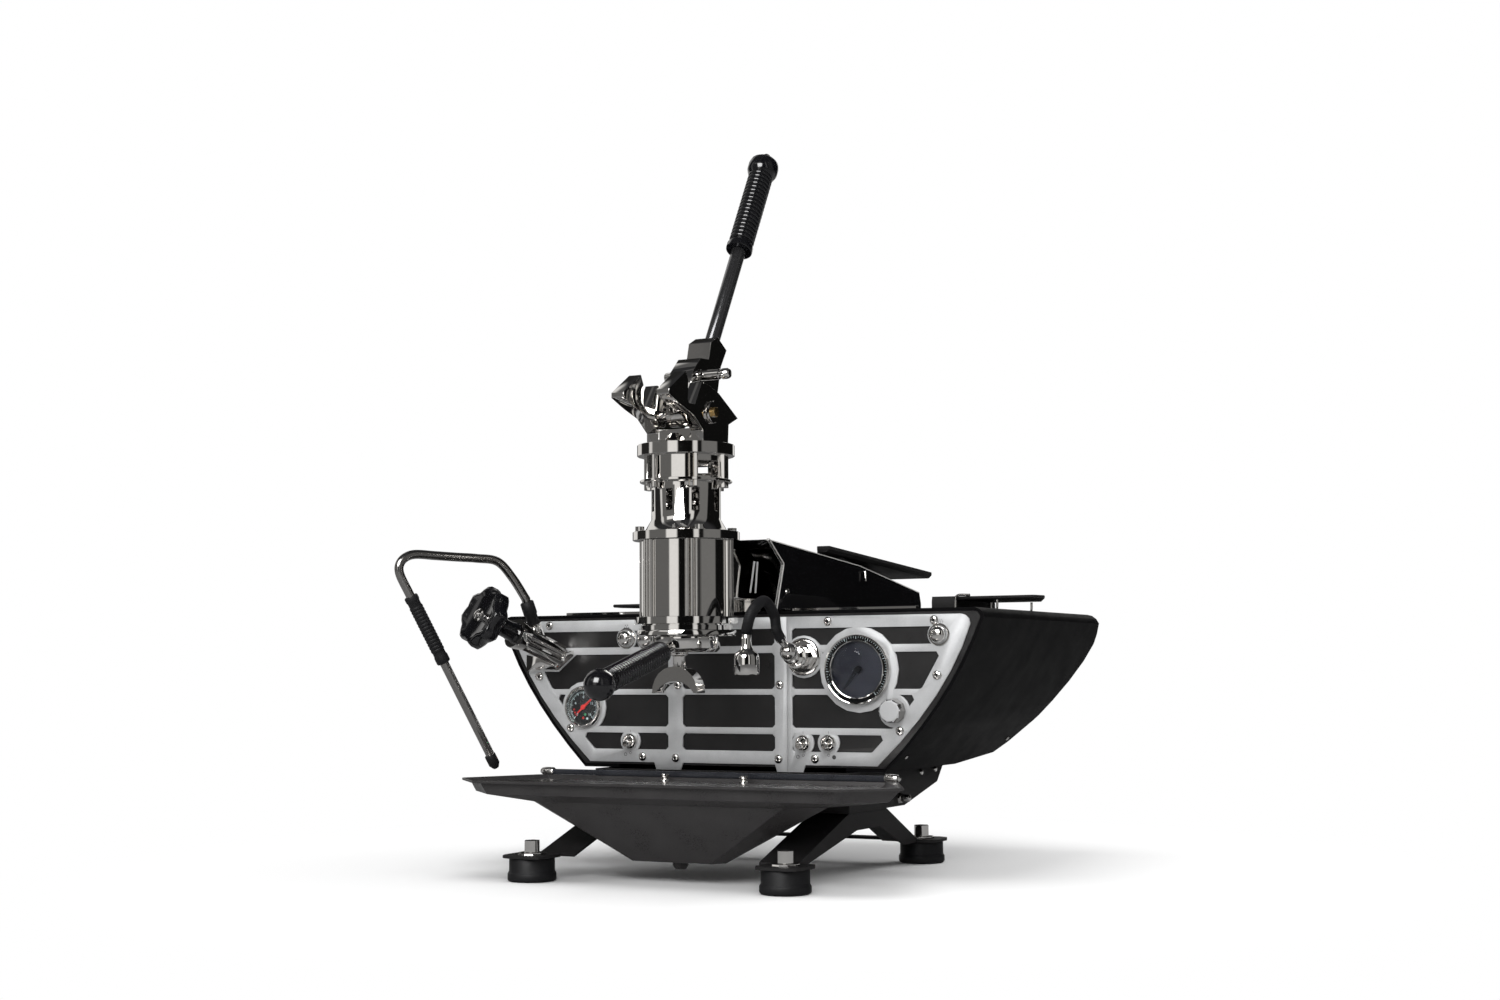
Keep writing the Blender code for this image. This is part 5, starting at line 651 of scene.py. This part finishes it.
def filter_handle():
    """Ribbed handle that ends in a ball."""
    axis = HANDLE_BALL - HANDLE_START
    length = axis.length
    profile = list(HANDLE_FOOT)
    profile += ribbed(HANDLE_RIBS_START, length - BALL_ROOM - HANDLE_RIBS_START, HANDLE_R - HANDLE_GROOVE,
                      HANDLE_RIB, HANDLE_RIBS)
    start = math.asin(HANDLE_R / BALL_R) + BALL_NECK
    for step in range(BALL_STEPS):
        angle = start + (math.pi - start) * step / BALL_STEPS
        profile.append((BALL_R * math.sin(angle), length - BALL_R * math.cos(angle)))
    profile.append((0, length + BALL_R))
    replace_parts(lathe("handle_fine", profile, HANDLE_START, axis, HANDLE, "portafilter", 40),
                "portafilter_handle")


# ---- steam wand and knob ----
WAND_HEADING = math.radians(27)
WAND_SEAT = Vector((-0.21408, -0.08857, 0.23731))
COLLAR_AXIS = Vector((-0.16396, -0.32466, 0.93151))
COLLAR_REACH = 0.0526
WAND_FOOT = Vector((-0.2160, -0.0925, 0.2900))
WAND_REACH = 0.1662
WAND_RISE = 0.0440
WAND_SHARES = ((0.097, 0.0), (0.194, 0.50), (0.303, 0.886), (0.45, 0.950), (0.60, 0.966),
               (0.75, 0.985), (0.891, 1.0), (0.964, 0.909), (1.0, 0.727), (0.994, 0.500),
               (0.945, 0.159), (0.921, 0.0))
WAND_R = 0.0048
WAND_LEAN = math.radians(29.5)
WAND_DROP = 0.1930
SLEEVE_BORE = WAND_R + 0.0001
SLEEVE_LIP = 0.0074
SLEEVE_R = 0.0067
SLEEVE_TOP = ((SLEEVE_BORE, 0.0003), (SLEEVE_LIP * 0.94, 0.0003), (SLEEVE_LIP, 0.0012),
              (SLEEVE_LIP, 0.0052), (SLEEVE_R, 0.0070))
SLEEVE_RIBS = (0.0120, 0.0540, 0.0066, 0.0007, 14)
SLEEVE_FOOT = ((SLEEVE_R, 0.0705), (SLEEVE_LIP, 0.0722), (SLEEVE_LIP, 0.0786),
               (SLEEVE_LIP * 0.94, 0.0797), (SLEEVE_BORE, 0.0797))
KNOB_AXIS = Vector((-0.31794, -0.87015, 0.37651))
KNOB_CENTRE = Vector((-0.24, -0.1595, 0.268))
KNOB_CAP = ((0, 0.0070), (0.0072, 0.0070), (0.0072, 0.0084), (0.0050, 0.0090), (0.0044, 0.0112),
            (0.0026, 0.0124), (0, 0.0124))


def wand_spot(along, up):
    """Point in the upright plane of the wand's arch."""
    return Vector((WAND_FOOT.x - math.sin(WAND_HEADING) * along, WAND_FOOT.y - math.cos(WAND_HEADING) * along,
                   WAND_FOOT.z + up))


def wand():
    """Smooth bent tube of the steam wand, and its ribbed rubber sleeve."""
    start = WAND_SEAT + COLLAR_AXIS * COLLAR_REACH
    bends = [wand_spot(WAND_REACH * along, WAND_RISE * up) for along, up in WAND_SHARES]
    path = [start] + smooth_path([start + COLLAR_AXIS * WAND_R] + bends, 6)
    drop = (wand_spot(-math.sin(WAND_LEAN), -math.cos(WAND_LEAN)) - wand_spot(0, 0)).normalized()
    top = path[-1]
    made = tube("wand_tube", path + [top + drop * WAND_DROP], WAND_R, WAND, "wand")
    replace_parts(made, "steam_wand")
    profile = [*SLEEVE_TOP, *ribbed(*SLEEVE_RIBS), *SLEEVE_FOOT]
    made = lathe("wand_sleeve", profile, top, drop, RUBBER, "wand", 32, closed=True)
    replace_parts(made, "wand_grip")


def knob_cap():
    """Chrome screw and washer in the steam knob's dished face."""
    lathe("knob_cap", KNOB_CAP, KNOB_CENTRE, KNOB_AXIS, CHROME, "knob", 32)


# ---- water fitting, hose and nozzle ----
SPOUT_BALL = Vector((0.0890, -0.0915, 0.2290))
SPOUT_BALL_R = 0.0095
SPOUT_Z = 0.2240
HOSE_REACH = 0.0936
HOSE_RISE = 0.0504
HOSE_R = 0.0055
HOSE_GROOVE = 0.00045
HOSE_SHARES = ((0.287, 0.395), (0.357, 0.734), (0.592, 1.0), (0.871, 0.772), (0.987, 0.456))
NECK_TOP = 0.2456
NECK_POINTS = 16
NOZZLE = ((0, NECK_TOP), (0.0043, NECK_TOP), (0.0046, NECK_TOP - 0.0008), (0.0049, 0.2400), (0.0054, 0.2345),
          (0.0060, 0.2318), (0.0072, 0.2300), (0.0096, 0.2284), (0.0115, 0.2264), (0.0123, 0.2238),
          (0.0125, 0.2205), (0.0125, 0.2088), (0.0121, 0.2068), (0.0116, 0.2060), (0.0095, 0.2060),
          (0.0095, 0.2160), (0, 0.2160))
FITTING_SEAT = TRIM_THICK + 0.0003
FLANGE_R = 0.0195
SHAFT_R = 0.0120
FLANGE = ((0, 0), (1, 0), (1, 0.0016), (0.94, 0.0026), (0.86, 0.0030), (0.82, 0.0022),
          (SHAFT_R / FLANGE_R, 0.0022), (0, 0.0022))
SHAFT = ((0, 0.008), (0.86, 0.008), (0.86, 0.0185), (0.98, 0.0188), (0.98, 0.0222), (0.84, 0.0226),
         (0.84, 0.0250), (0.62, 0.0262), (0.62, 0.0345), (0, 0.0345))
NUT = ((0, 0.0020), (1.16, 0.0020), (1.2, 0.0026), (1.2, 0.0062), (1.08, 0.0070), (0, 0.0070))


def fitting():
    """Turned fitting: flange, hexagon nut, neck, collar and the ball that carries the hose."""
    centre = on_panel((SPOUT_BALL.x, SPOUT_Z))
    flange, nut = sized(FLANGE, FLANGE_R, 1, FITTING_SEAT), sized(NUT, SHAFT_R, 1, FITTING_SEAT)
    turns = [math.pi * step / 20 for step in range(1, 20)]
    ball = [(SPOUT_BALL_R * math.sin(turn), -SPOUT_BALL_R * math.cos(turn)) for turn in turns]
    ball = [(0, -SPOUT_BALL_R)] + ball + [(0, SPOUT_BALL_R)]
    made = several("fitting_fine", [lambda n: lathe_parts(flange, centre, OUT, 56, n),
                                    lambda n: lathe_parts(sized(SHAFT, SHAFT_R), centre, OUT, 48, n),
                                    lambda n: lathe_parts(ball, SPOUT_BALL, UP, 36, n)],
                   CHROME, "machine")
    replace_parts(made, "spout_fitting")
    lathe("fitting_nut", nut, centre, OUT, CHROME, "machine", 6, smooth=20)


def hose():
    """Ringed hose arched from the ball to the nozzle, with a steel neck at the ball."""
    bends = [SPOUT_BALL + Vector((0, -HOSE_REACH * along, HOSE_RISE * up)) for along, up in HOSE_SHARES]
    start = SPOUT_BALL + (bends[0] - SPOUT_BALL).normalized() * (SPOUT_BALL_R + HOSE_R * 0.15)
    end = Vector((SPOUT_BALL.x, SPOUT_BALL.y - HOSE_REACH, NECK_TOP - 0.0005))
    path = smooth_path([start] + bends + [end], 24)
    radii = [HOSE_R - (HOSE_GROOVE if index % 2 else 0.0) for index in range(len(path))]
    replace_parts(tube("hose_fine", path[NECK_POINTS:], radii[NECK_POINTS:], RUBBER, "spout"),
                "water_hose")
    slim = [HOSE_R * (0.62 + 0.02 * index) for index in range(NECK_POINTS - 4)] + [HOSE_R] * 5
    tube("hose_neck", path[:NECK_POINTS + 1], slim, CHROME, "spout")


def nozzle():
    """Waisted nozzle with rounded shoulders and an open mouth."""
    place = (SPOUT_BALL.x, SPOUT_BALL.y - HOSE_REACH, 0)
    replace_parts(lathe("nozzle_fine", NOZZLE, place, UP, CHROME, "spout", 48, smooth=50),
                "water_nozzle")


# ---- group ----
CYLINDER_R = 0.046
CYLINDER_LOW = 0.2648
CYLINDER_HIGH = 0.3423
CYLINDER_BORE = 0.030
FLUTE_GROUPS = 6
FLUTE_HEIGHT = 0.0045
FLUTE_PITCH = math.radians(5.6)
FLUTE_FIRST = math.radians(36)
FLUTE_SPAN = math.radians(60)
FLUTE_STEPS = 9
FLUTE_HALF = 0.49
FLUTE_ROUND = 0.8
PLAIN_STEPS = 11
RIM_IN = 0.0481
RIM_OUT = 0.0508
FILTER_RIM = ((RIM_IN, 0.2452), (RIM_OUT * 0.985, 0.2452), (RIM_OUT, 0.2462), (RIM_OUT, 0.2500),
              (RIM_OUT * 0.985, 0.2512), (RIM_IN, 0.2512))


def flute_outline():
    """Heading and radius of the points round the cylinder: six groups of three round flutes."""
    made = []
    for group in range(FLUTE_GROUPS):
        middle = FLUTE_FIRST + group * FLUTE_SPAN
        for flute in (-1, 0, 1):
            for step in range(FLUTE_STEPS):
                turn = math.pi * (step + 0.5) / FLUTE_STEPS
                made.append((middle + (flute - FLUTE_HALF * math.cos(turn)) * FLUTE_PITCH,
                             CYLINDER_R + FLUTE_HEIGHT * math.sin(turn) ** FLUTE_ROUND))
        plain = FLUTE_SPAN - 3 * FLUTE_PITCH
        made += [(middle + 1.5 * FLUTE_PITCH + plain * share / PLAIN_STEPS, CYLINDER_R)
                 for share in range(PLAIN_STEPS + 1)]
    return made


def cylinder():
    """Hollow cylinder with round flutes down its outside."""
    outline = flute_outline()
    count = len(outline)
    points = []
    for inside, z in ((False, CYLINDER_LOW), (False, CYLINDER_HIGH),
                      (True, CYLINDER_HIGH), (True, CYLINDER_LOW)):
        for heading, reach in outline:
            radius = CYLINDER_BORE if inside else reach
            points.append((math.sin(heading) * radius, GROUP_Y - math.cos(heading) * radius, z))
    faces = [[ring * count + step, ring * count + (step + 1) % count,
              (ring + 1) % 4 * count + (step + 1) % count, (ring + 1) % 4 * count + step]
             for ring in range(4) for step in range(count)]
    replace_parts(piece("cylinder_fine", points, faces, CHROME, "machine", 50), "group_cylinder")


def filter_rim():
    """Rounded rim of the filter holder round the head's foot."""
    lathe("filter_rim", FILTER_RIM, (0, GROUP_Y, 0), UP, CHROME, "portafilter", 72, closed=True)


# ---- cup wings ----
SIDES = ((-1, "left"), (1, "right"))
WING_INNER = 0.176
WING_OUTER = 0.272
WING_BLOCK_X = 0.149
WING_FRONT = PANEL_Y + 0.205
WING_REAR = PANEL_Y + 0.330
WING_TOP = 0.291
WING_THICK = 0.004
WING_GAP = 0.0003
PLATE_RINGS = ((0.985, 0), (1.0, 0.35), (1.0, 0.7), (0.985, 1))
WIRE_R = 0.0014
WIRE_DECK = HULL_TOP + WIRE_R
WIRE_TOP = WING_TOP + WIRE_R * 0.6
WIRE_ROUTES = {"inner": ((0.166, WIRE_DECK), (0.1745, WIRE_DECK), (0.1775, WIRE_DECK + 0.003),
                         (0.1780, WIRE_TOP - 0.005), (0.1810, WIRE_TOP), (0.1950, WIRE_TOP)),
               "outer": ((0.2150, WIRE_DECK), (0.2235, WIRE_DECK), (0.2265, WIRE_DECK + 0.003),
                         (0.2270, WING_TOP - 0.005))}


def flat_plate(outline, low, high):
    """Function that gives a flat plate from an outline seen from above, thinned along its rim."""
    count = len(outline)
    middle = Vector([sum(values) / count for values in zip(*outline)])
    points = [Vector((middle.x + (x - middle.x) * shrink, middle.y + (y - middle.y) * shrink,
                      low + (high - low) * up)) for shrink, up in PLATE_RINGS for x, y in outline]
    faces = [[level * count + step, level * count + (step + 1) % count,
              (level + 1) * count + (step + 1) % count, (level + 1) * count + step]
             for level in range(len(PLATE_RINGS) - 1) for step in range(count)]
    faces += [list(reversed(range(count))), list(range(len(points) - count, len(points)))]
    return lambda n: (points, [[corner + n for corner in face] for face in faces])


def wing(side, label):
    """Tapered side plate for cups on its block."""
    rim, inner = WING_THICK / 2, WING_INNER - WING_THICK
    plan = [(inner, WING_FRONT), (WING_OUTER - WING_THICK, WING_FRONT),
            (WING_OUTER, WING_FRONT + (WING_REAR - WING_FRONT) * 0.2),
            (WING_INNER + (WING_OUTER - WING_INNER) * 0.6, WING_REAR), (inner, WING_REAR)]
    block = [(WING_BLOCK_X, WING_FRONT - rim), (WING_INNER, WING_FRONT - rim), (WING_INNER, WING_REAR + rim),
             (WING_BLOCK_X, WING_REAR + rim)]
    shapes = []
    for outline, low, high in ((plan, WING_TOP - WING_THICK, WING_TOP - WING_GAP),
                               (block, HULL_TOP + WING_GAP, WING_TOP)):
        outline = [(side * x, y) for x, y in outline][::side]
        shapes.append(flat_plate(outline, low, high))
    made = several(f"wing_{label}", shapes, LEG_POWDER, "machine", 30)
    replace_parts(made, f"cup_wing_{label}")


def wing_wires(side, label):
    """Bent wire brackets under a cup wing."""
    for place, y in (("front", WING_FRONT - WING_THICK / 2 - WIRE_R), ("rear", WING_REAR - WING_THICK * 4)):
        for kind, route in WIRE_ROUTES.items():
            path = smooth_path([(side * x, y, z) for x, z in route], 5)
            tube(f"wing_wire_{label}_{place}_{kind}", path, WIRE_R, CHROME, "machine", 12)


# ---- cowl, bolts and splash bar ----
FINE_R = 0.0011
COWL_LENGTH = 0.382
COWL_RISE = 0.0735
COWL_OUTLINE = ((-0.026, 0.0), (0.021, 0.667), (-0.068, 1.0), (0.529, 0.762), (0.987, 0.422))
COWL_WALL = (0.0590, 0.0623)
COWL_GAP = 0.0003
EDGE_WIDE = 0.0010
COWL_FOOT = (0.0632, (-0.0500, 0.3000), HULL_TOP + 0.0016)
CLIP_SPOT = (0.062, 0.1551, 0.3212)
CLIP_BENDS = ((0, 0, 0), (0.0030, 0, 0), (0.0034, 0, -0.0105))
CLIP_RADII = [0.0018, 0.0018, 0.0012]
PIPE_DECK = HULL_TOP - 0.0005
PIPE_R = 0.0036
PIPE_LOOP = ((0.005, 0.020, PIPE_DECK), (0.005, 0.010, 0.300), (0.006, -0.010, 0.324),
             (0.0130, -0.027, 0.3330), (0.0230, -0.031, 0.3320), (0.0330, -0.029, 0.3310),
             (0.0385, -0.018, 0.324), (0.0385, 0.004, 0.300), (0.0385, 0.014, PIPE_DECK))
RIB_ENDS = (((-0.0668, 0.2915), (-0.0567, 0.3245)), ((-0.0550, 0.2915), (-0.0496, 0.3245)))
BOLT_SUNK = 0.0004
SIDE_BOLTS = (((0.2030, 0.2353, 0.1318), (0.747, 0, -0.665), 0.0026, 0.0014, 16),
              ((0.1932, -0.0353, 0.1216), (0.712, 0, -0.702), 0.0024, 0.0014, 16),
              ((0.1500, 0.1048, 0.0988), (1, 0, 0), 0.0034, 0.0030, 16),
              ((0.1500, 0.1450, 0.1004), (1, 0, 0), 0.0034, 0.0030, 16),
              ((0.1500, 0.0440, 0.0745), (1, 0, 0), 0.0062, 0.0045, 6),
              ((0.1540, 0.0440, 0.0745), (1, 0, 0), 0.0042, 0.0100, 16))
BAR_CAP_SPOT = (0.1950, -0.0925, 0.1031)
BAR_CAP = ((0, 0), (0.0038, 0), (0.0042, 0.0008), (0.0042, 0.0105), (0.0037, 0.0140), (0.0024, 0.0160),
           (0, 0.0168))


def on_side(side, spot):
    """Point or direction given for the right side, mirrored for the left."""
    return Vector((side * spot[0], spot[1], spot[2]))


def cowl_edge(side, label):
    """Bright folded edge along one side of the cowl's front and ridge, with a foot seam and a clip."""
    outline = [(PANEL_Y + COWL_LENGTH * along, HULL_TOP + COWL_GAP + COWL_RISE * up)
               for along, up in COWL_OUTLINE]
    walls = sorted(side * x for x in COWL_WALL)
    points, faces = [], []
    for (y0, z0), (y1, z1) in zip(outline, outline[1:]):
        way = Vector((0, y1 - y0, z1 - z0)).normalized()
        across = Vector((0, -way.z, way.y)) * EDGE_WIDE
        faces += [[corner + len(points) for corner in face] for face in BOX_SIDES]
        points += [Vector((x, y, z)) - across * depth
                   for y, z in ((y0, z0), (y1, z1)) for depth in (0, 1) for x in walls]
    piece(f"cowl_edge_{label}", points, faces, SHEET_EDGE, "machine")
    x, ends, z = COWL_FOOT
    foot = [Vector((side * x, y, z)) for y in ends]
    tube(f"cowl_foot_{label}", foot, FINE_R, CHROME, "machine", 10)
    clip = [on_side(side, CLIP_SPOT) + on_side(side, bend) for bend in CLIP_BENDS]
    tube(f"cowl_clip_{label}", clip, CLIP_RADII, CHROME, "machine", 12)


def inner_pipes():
    """Looped pipe inside the cowl's open front and two thin ribs on the group mount's side."""
    tube("inner_pipe", smooth_path(PIPE_LOOP, 6), PIPE_R, STEEL, "machine", 16)
    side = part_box("group_mount")[1][0]
    for index, ends in enumerate(RIB_ENDS):
        rod = [Vector((side, y, z)) for y, z in ends]
        tube(f"mount_rib_{index}", rod, FINE_R, TRIM, "machine", 10)


def bolt(spot, aim, radius, height, sides, offset):
    """Points and faces of a rounded bolt head that stands on a surface."""
    profile = [(0, -BOLT_SUNK), (radius, -BOLT_SUNK), (radius, height * 0.6), (radius * 0.85, height * 0.9),
               (radius * 0.5, height), (0, height)]
    return lathe_parts(profile, spot, aim, sides, offset)


def side_bolts():
    """Small screws low on the hull's sides, and bolts on the chassis under it."""
    several("side_bolts", [
        lambda n, p=on_side(side, place), a=on_side(side, aim), r=radius, h=height, s=sides: bolt(
            p, a, r, h, s, n)
        for side, _ in SIDES for place, aim, radius, height, sides in SIDE_BOLTS],
            CHROME, "machine")


def bar_caps():
    """Rounded bright caps on the splash bar's ends."""
    several("bar_caps", [lambda n, s=side: lathe_parts(BAR_CAP, on_side(s, BAR_CAP_SPOT), (s, 0, 0), 32, n)
                         for side, _ in SIDES], CHROME, "tray", 60)


# ---- studio ----
STRIPS = ((0.0, 0.02), (0.055, 0.02), (0.065, 0.70), (0.085, 0.70), (0.095, 0.13), (0.205, 0.13),
          (0.213, 0.85), (0.272, 0.85), (0.280, 0.004), (0.372, 0.004), (0.380, 0.75), (0.402, 0.75),
          (0.410, 0.01), (0.430, 0.01), (0.440, 0.17), (0.548, 0.17), (0.556, 0.005), (0.740, 0.005),
          (0.750, 0.80), (0.800, 0.80), (0.810, 0.02), (0.870, 0.02), (0.880, 0.75), (0.960, 0.75),
          (0.970, 0.02), (1.0, 0.02))
STRIP_TINT = (1, 0.985, 0.96)
TOP_SPAN = (0.62, 0.80)
TOP_SHARE = 0.9
TOP_GREY = (0.030, 0.030, 0.032, 1)
SOFTBOX_TURN = (0.195, 0.065)
SOFTBOX_HEIGHT = (0.52, 0.09)
SOFTBOX_LIGHT = (0.95, 0.94, 0.92, 1)
SOFT_GREY = (0.46, 0.46, 0.46, 1)
WHITE = (1, 1, 1, 1)
FLOOR_HALF = 6.0
FLOOR_Z = -0.0003
FLOOR_PAINT = {"Base Color": (0.86, 0.86, 0.86, 1), "Roughness": 0.9, "Specular IOR Level": 0.1}
FLOOR_FADE = (0.25, 0.75)
FLOOR_FLAG = (0.055, 0.055, 0.055, 1)
FLAG_SHARE = 0.75
LAMP_AIM = Vector((0, -0.1, 0.3))
GLINT = "glint"
LAMPS = (("overhead", (-0.2, -0.1, 2.0), 1.3, 1.3, 20), ("key", (0.70, -1.75, 1.20), 0.9, 0.9, 20),
         ("fill_left", (-1.8, -1.2, 1.0), 0.9, 1.3, 10), (GLINT, (0.10, -1.85, 1.30), 1.1, 1.1, 46),
         ("rim_back", (0.9, 1.9, 1.3), 1.0, 1.0, 24), ("rim_side", (1.6, 1.4, 0.9), 1.2, 1.2, 8))
CAMERA_LENS = 47.43
CAMERA_SENSOR = 36
CAMERA_PLACE = (0.987, -1.9061, 0.212)
CAMERA_TURNS = ((27.43, "Z"), (90 + 4.88, "X"), (-0.34, "Z"))


def blend(tree, share, first, second):
    """Mix of two colours."""
    return add(tree, "Mix", {"Factor": share, 6: first, 7: second}, data_type="RGBA").outputs[2]


def smooth_step(tree, value, span, top=1.0):
    """Smooth rise from 0 to top over a span of the value."""
    return add(tree, "MapRange", {"Value": value, "From Min": span[0], "From Max": span[1], "To Max": top},
               interpolation_type="SMOOTHSTEP").outputs["Result"]


def strip_light(tree, turn):
    """Light strips and dark flags round the object, by the share of a full turn."""
    strips = add(tree, "ValToRGB", {"Fac": turn})
    ramp = strips.color_ramp
    for _ in range(len(STRIPS) - len(ramp.elements)):
        ramp.elements.new(0.5)
    for element, (position, level) in zip(ramp.elements, STRIPS):
        element.position = position
        element.color = (*[level * tint for tint in STRIP_TINT], 1)
    return strips.outputs["Color"]


def world():
    """White behind the object, an even grey for soft light, and strips and flags in reflections."""
    made = bpy.data.worlds.new("studio")
    bpy.context.scene.world = made
    made.use_nodes = True
    tree = made.node_tree
    tree.nodes.clear()
    axes = add(tree, "SeparateXYZ", {0: add(tree, "TexCoord").outputs["Generated"]}).outputs
    turn = maths(tree, "MULTIPLY_ADD", maths(tree, "ARCTAN2", axes["Y"], axes["X"]), 0.5 / math.pi, 0.5)
    mirror = blend(tree, smooth_step(tree, axes["Z"], TOP_SPAN, TOP_SHARE), strip_light(tree, turn), TOP_GREY)
    softbox = maths(tree, "MULTIPLY", maths(tree, "COMPARE", turn, *SOFTBOX_TURN),
                    maths(tree, "COMPARE", axes["Z"], *SOFTBOX_HEIGHT))
    path = add(tree, "LightPath").outputs
    shiny = blend(tree, path["Is Glossy Ray"], SOFT_GREY, blend(tree, softbox, mirror, SOFTBOX_LIGHT))
    through = maths(tree, "MAXIMUM", path["Is Camera Ray"], path["Is Transmission Ray"])
    sky = add(tree, "Background", {"Color": blend(tree, through, shiny, WHITE)})
    add(tree, "OutputWorld", {"Surface": sky.outputs[0]})


def floor_material():
    """Matt pale paper that turns plain white further out, and mostly a dark flag in reflections."""
    material, tree, shader = new_material("studio_floor", FLOOR_PAINT)
    place = add(tree, "TexCoord").outputs["Object"]
    reach = add(tree, "VectorMath", {0: place}, operation="LENGTH").outputs["Value"]
    path = add(tree, "LightPath").outputs
    paper = add(tree, "MixShader", {
        "Fac": maths(tree, "MULTIPLY", smooth_step(tree, reach, FLOOR_FADE), path["Is Camera Ray"]),
        1: shader.outputs[0], 2: add(tree, "Emission").outputs[0]})
    seen = add(tree, "MixShader", {
        "Fac": maths(tree, "MULTIPLY", path["Is Glossy Ray"], FLAG_SHARE),
        1: paper.outputs[0], 2: add(tree, "Emission", {"Color": FLOOR_FLAG}).outputs[0]})
    tree.links.new(seen.outputs[0], tree.nodes["Material Output"].inputs["Surface"])
    return material


def floor():
    """Pale floor that keeps the shadow near the object and fades to white further out."""
    mesh = bpy.data.meshes.new("studio_floor")
    corners = [(x * FLOOR_HALF, y * FLOOR_HALF, 0) for x, y in ((-1, -1), (1, -1), (1, 1), (-1, 1))]
    mesh.from_pydata(corners, [], [(0, 1, 2, 3)])
    mesh.materials.append(floor_material())
    item = placed("studio_floor", mesh)
    item.location.z = FLOOR_Z


def studio():
    """Six soft lamps; the glint alone is mirrored, and lights nothing matt."""
    for name, place, wide, tall, power in LAMPS:
        data = bpy.data.lights.new(name, "AREA")
        data.shape = "RECTANGLE"
        data.size, data.size_y, data.energy = wide, tall, power
        item = placed(name, data)
        item.location = place
        item.rotation_mode = "QUATERNION"
        item.rotation_quaternion = (LAMP_AIM - Vector(place)).to_track_quat("-Z", "Y")
        item.visible_glossy = name == GLINT
        item.visible_diffuse = name != GLINT


def camera():
    """Camera low before the machine's right corner."""
    data = bpy.data.cameras.new("camera")
    data.lens, data.sensor_width = CAMERA_LENS, CAMERA_SENSOR
    item = placed("camera", data)
    item.location = CAMERA_PLACE
    turn = Matrix.Identity(4)
    for degrees, axis in CAMERA_TURNS:
        turn = turn @ Matrix.Rotation(math.radians(degrees), 4, axis)
    item.rotation_euler = turn.to_euler()
    bpy.context.scene.camera = item


dress_all()
screws()
small_gauge()
main_gauge()
panel_marks()
button_rings()
fitting()
nozzle()
cylinder()
filter_rim()
for side, label in SIDES:
    wing(side, label)
    wing_wires(side, label)
lever_grip()
filter_handle()
wand()
hose()
knob_cap()
for side, label in SIDES:
    cowl_edge(side, label)
inner_pipes()
side_bolts()
bar_caps()
world()
floor()
studio()
camera()
bpy.context.scene.view_settings.view_transform = "Standard"
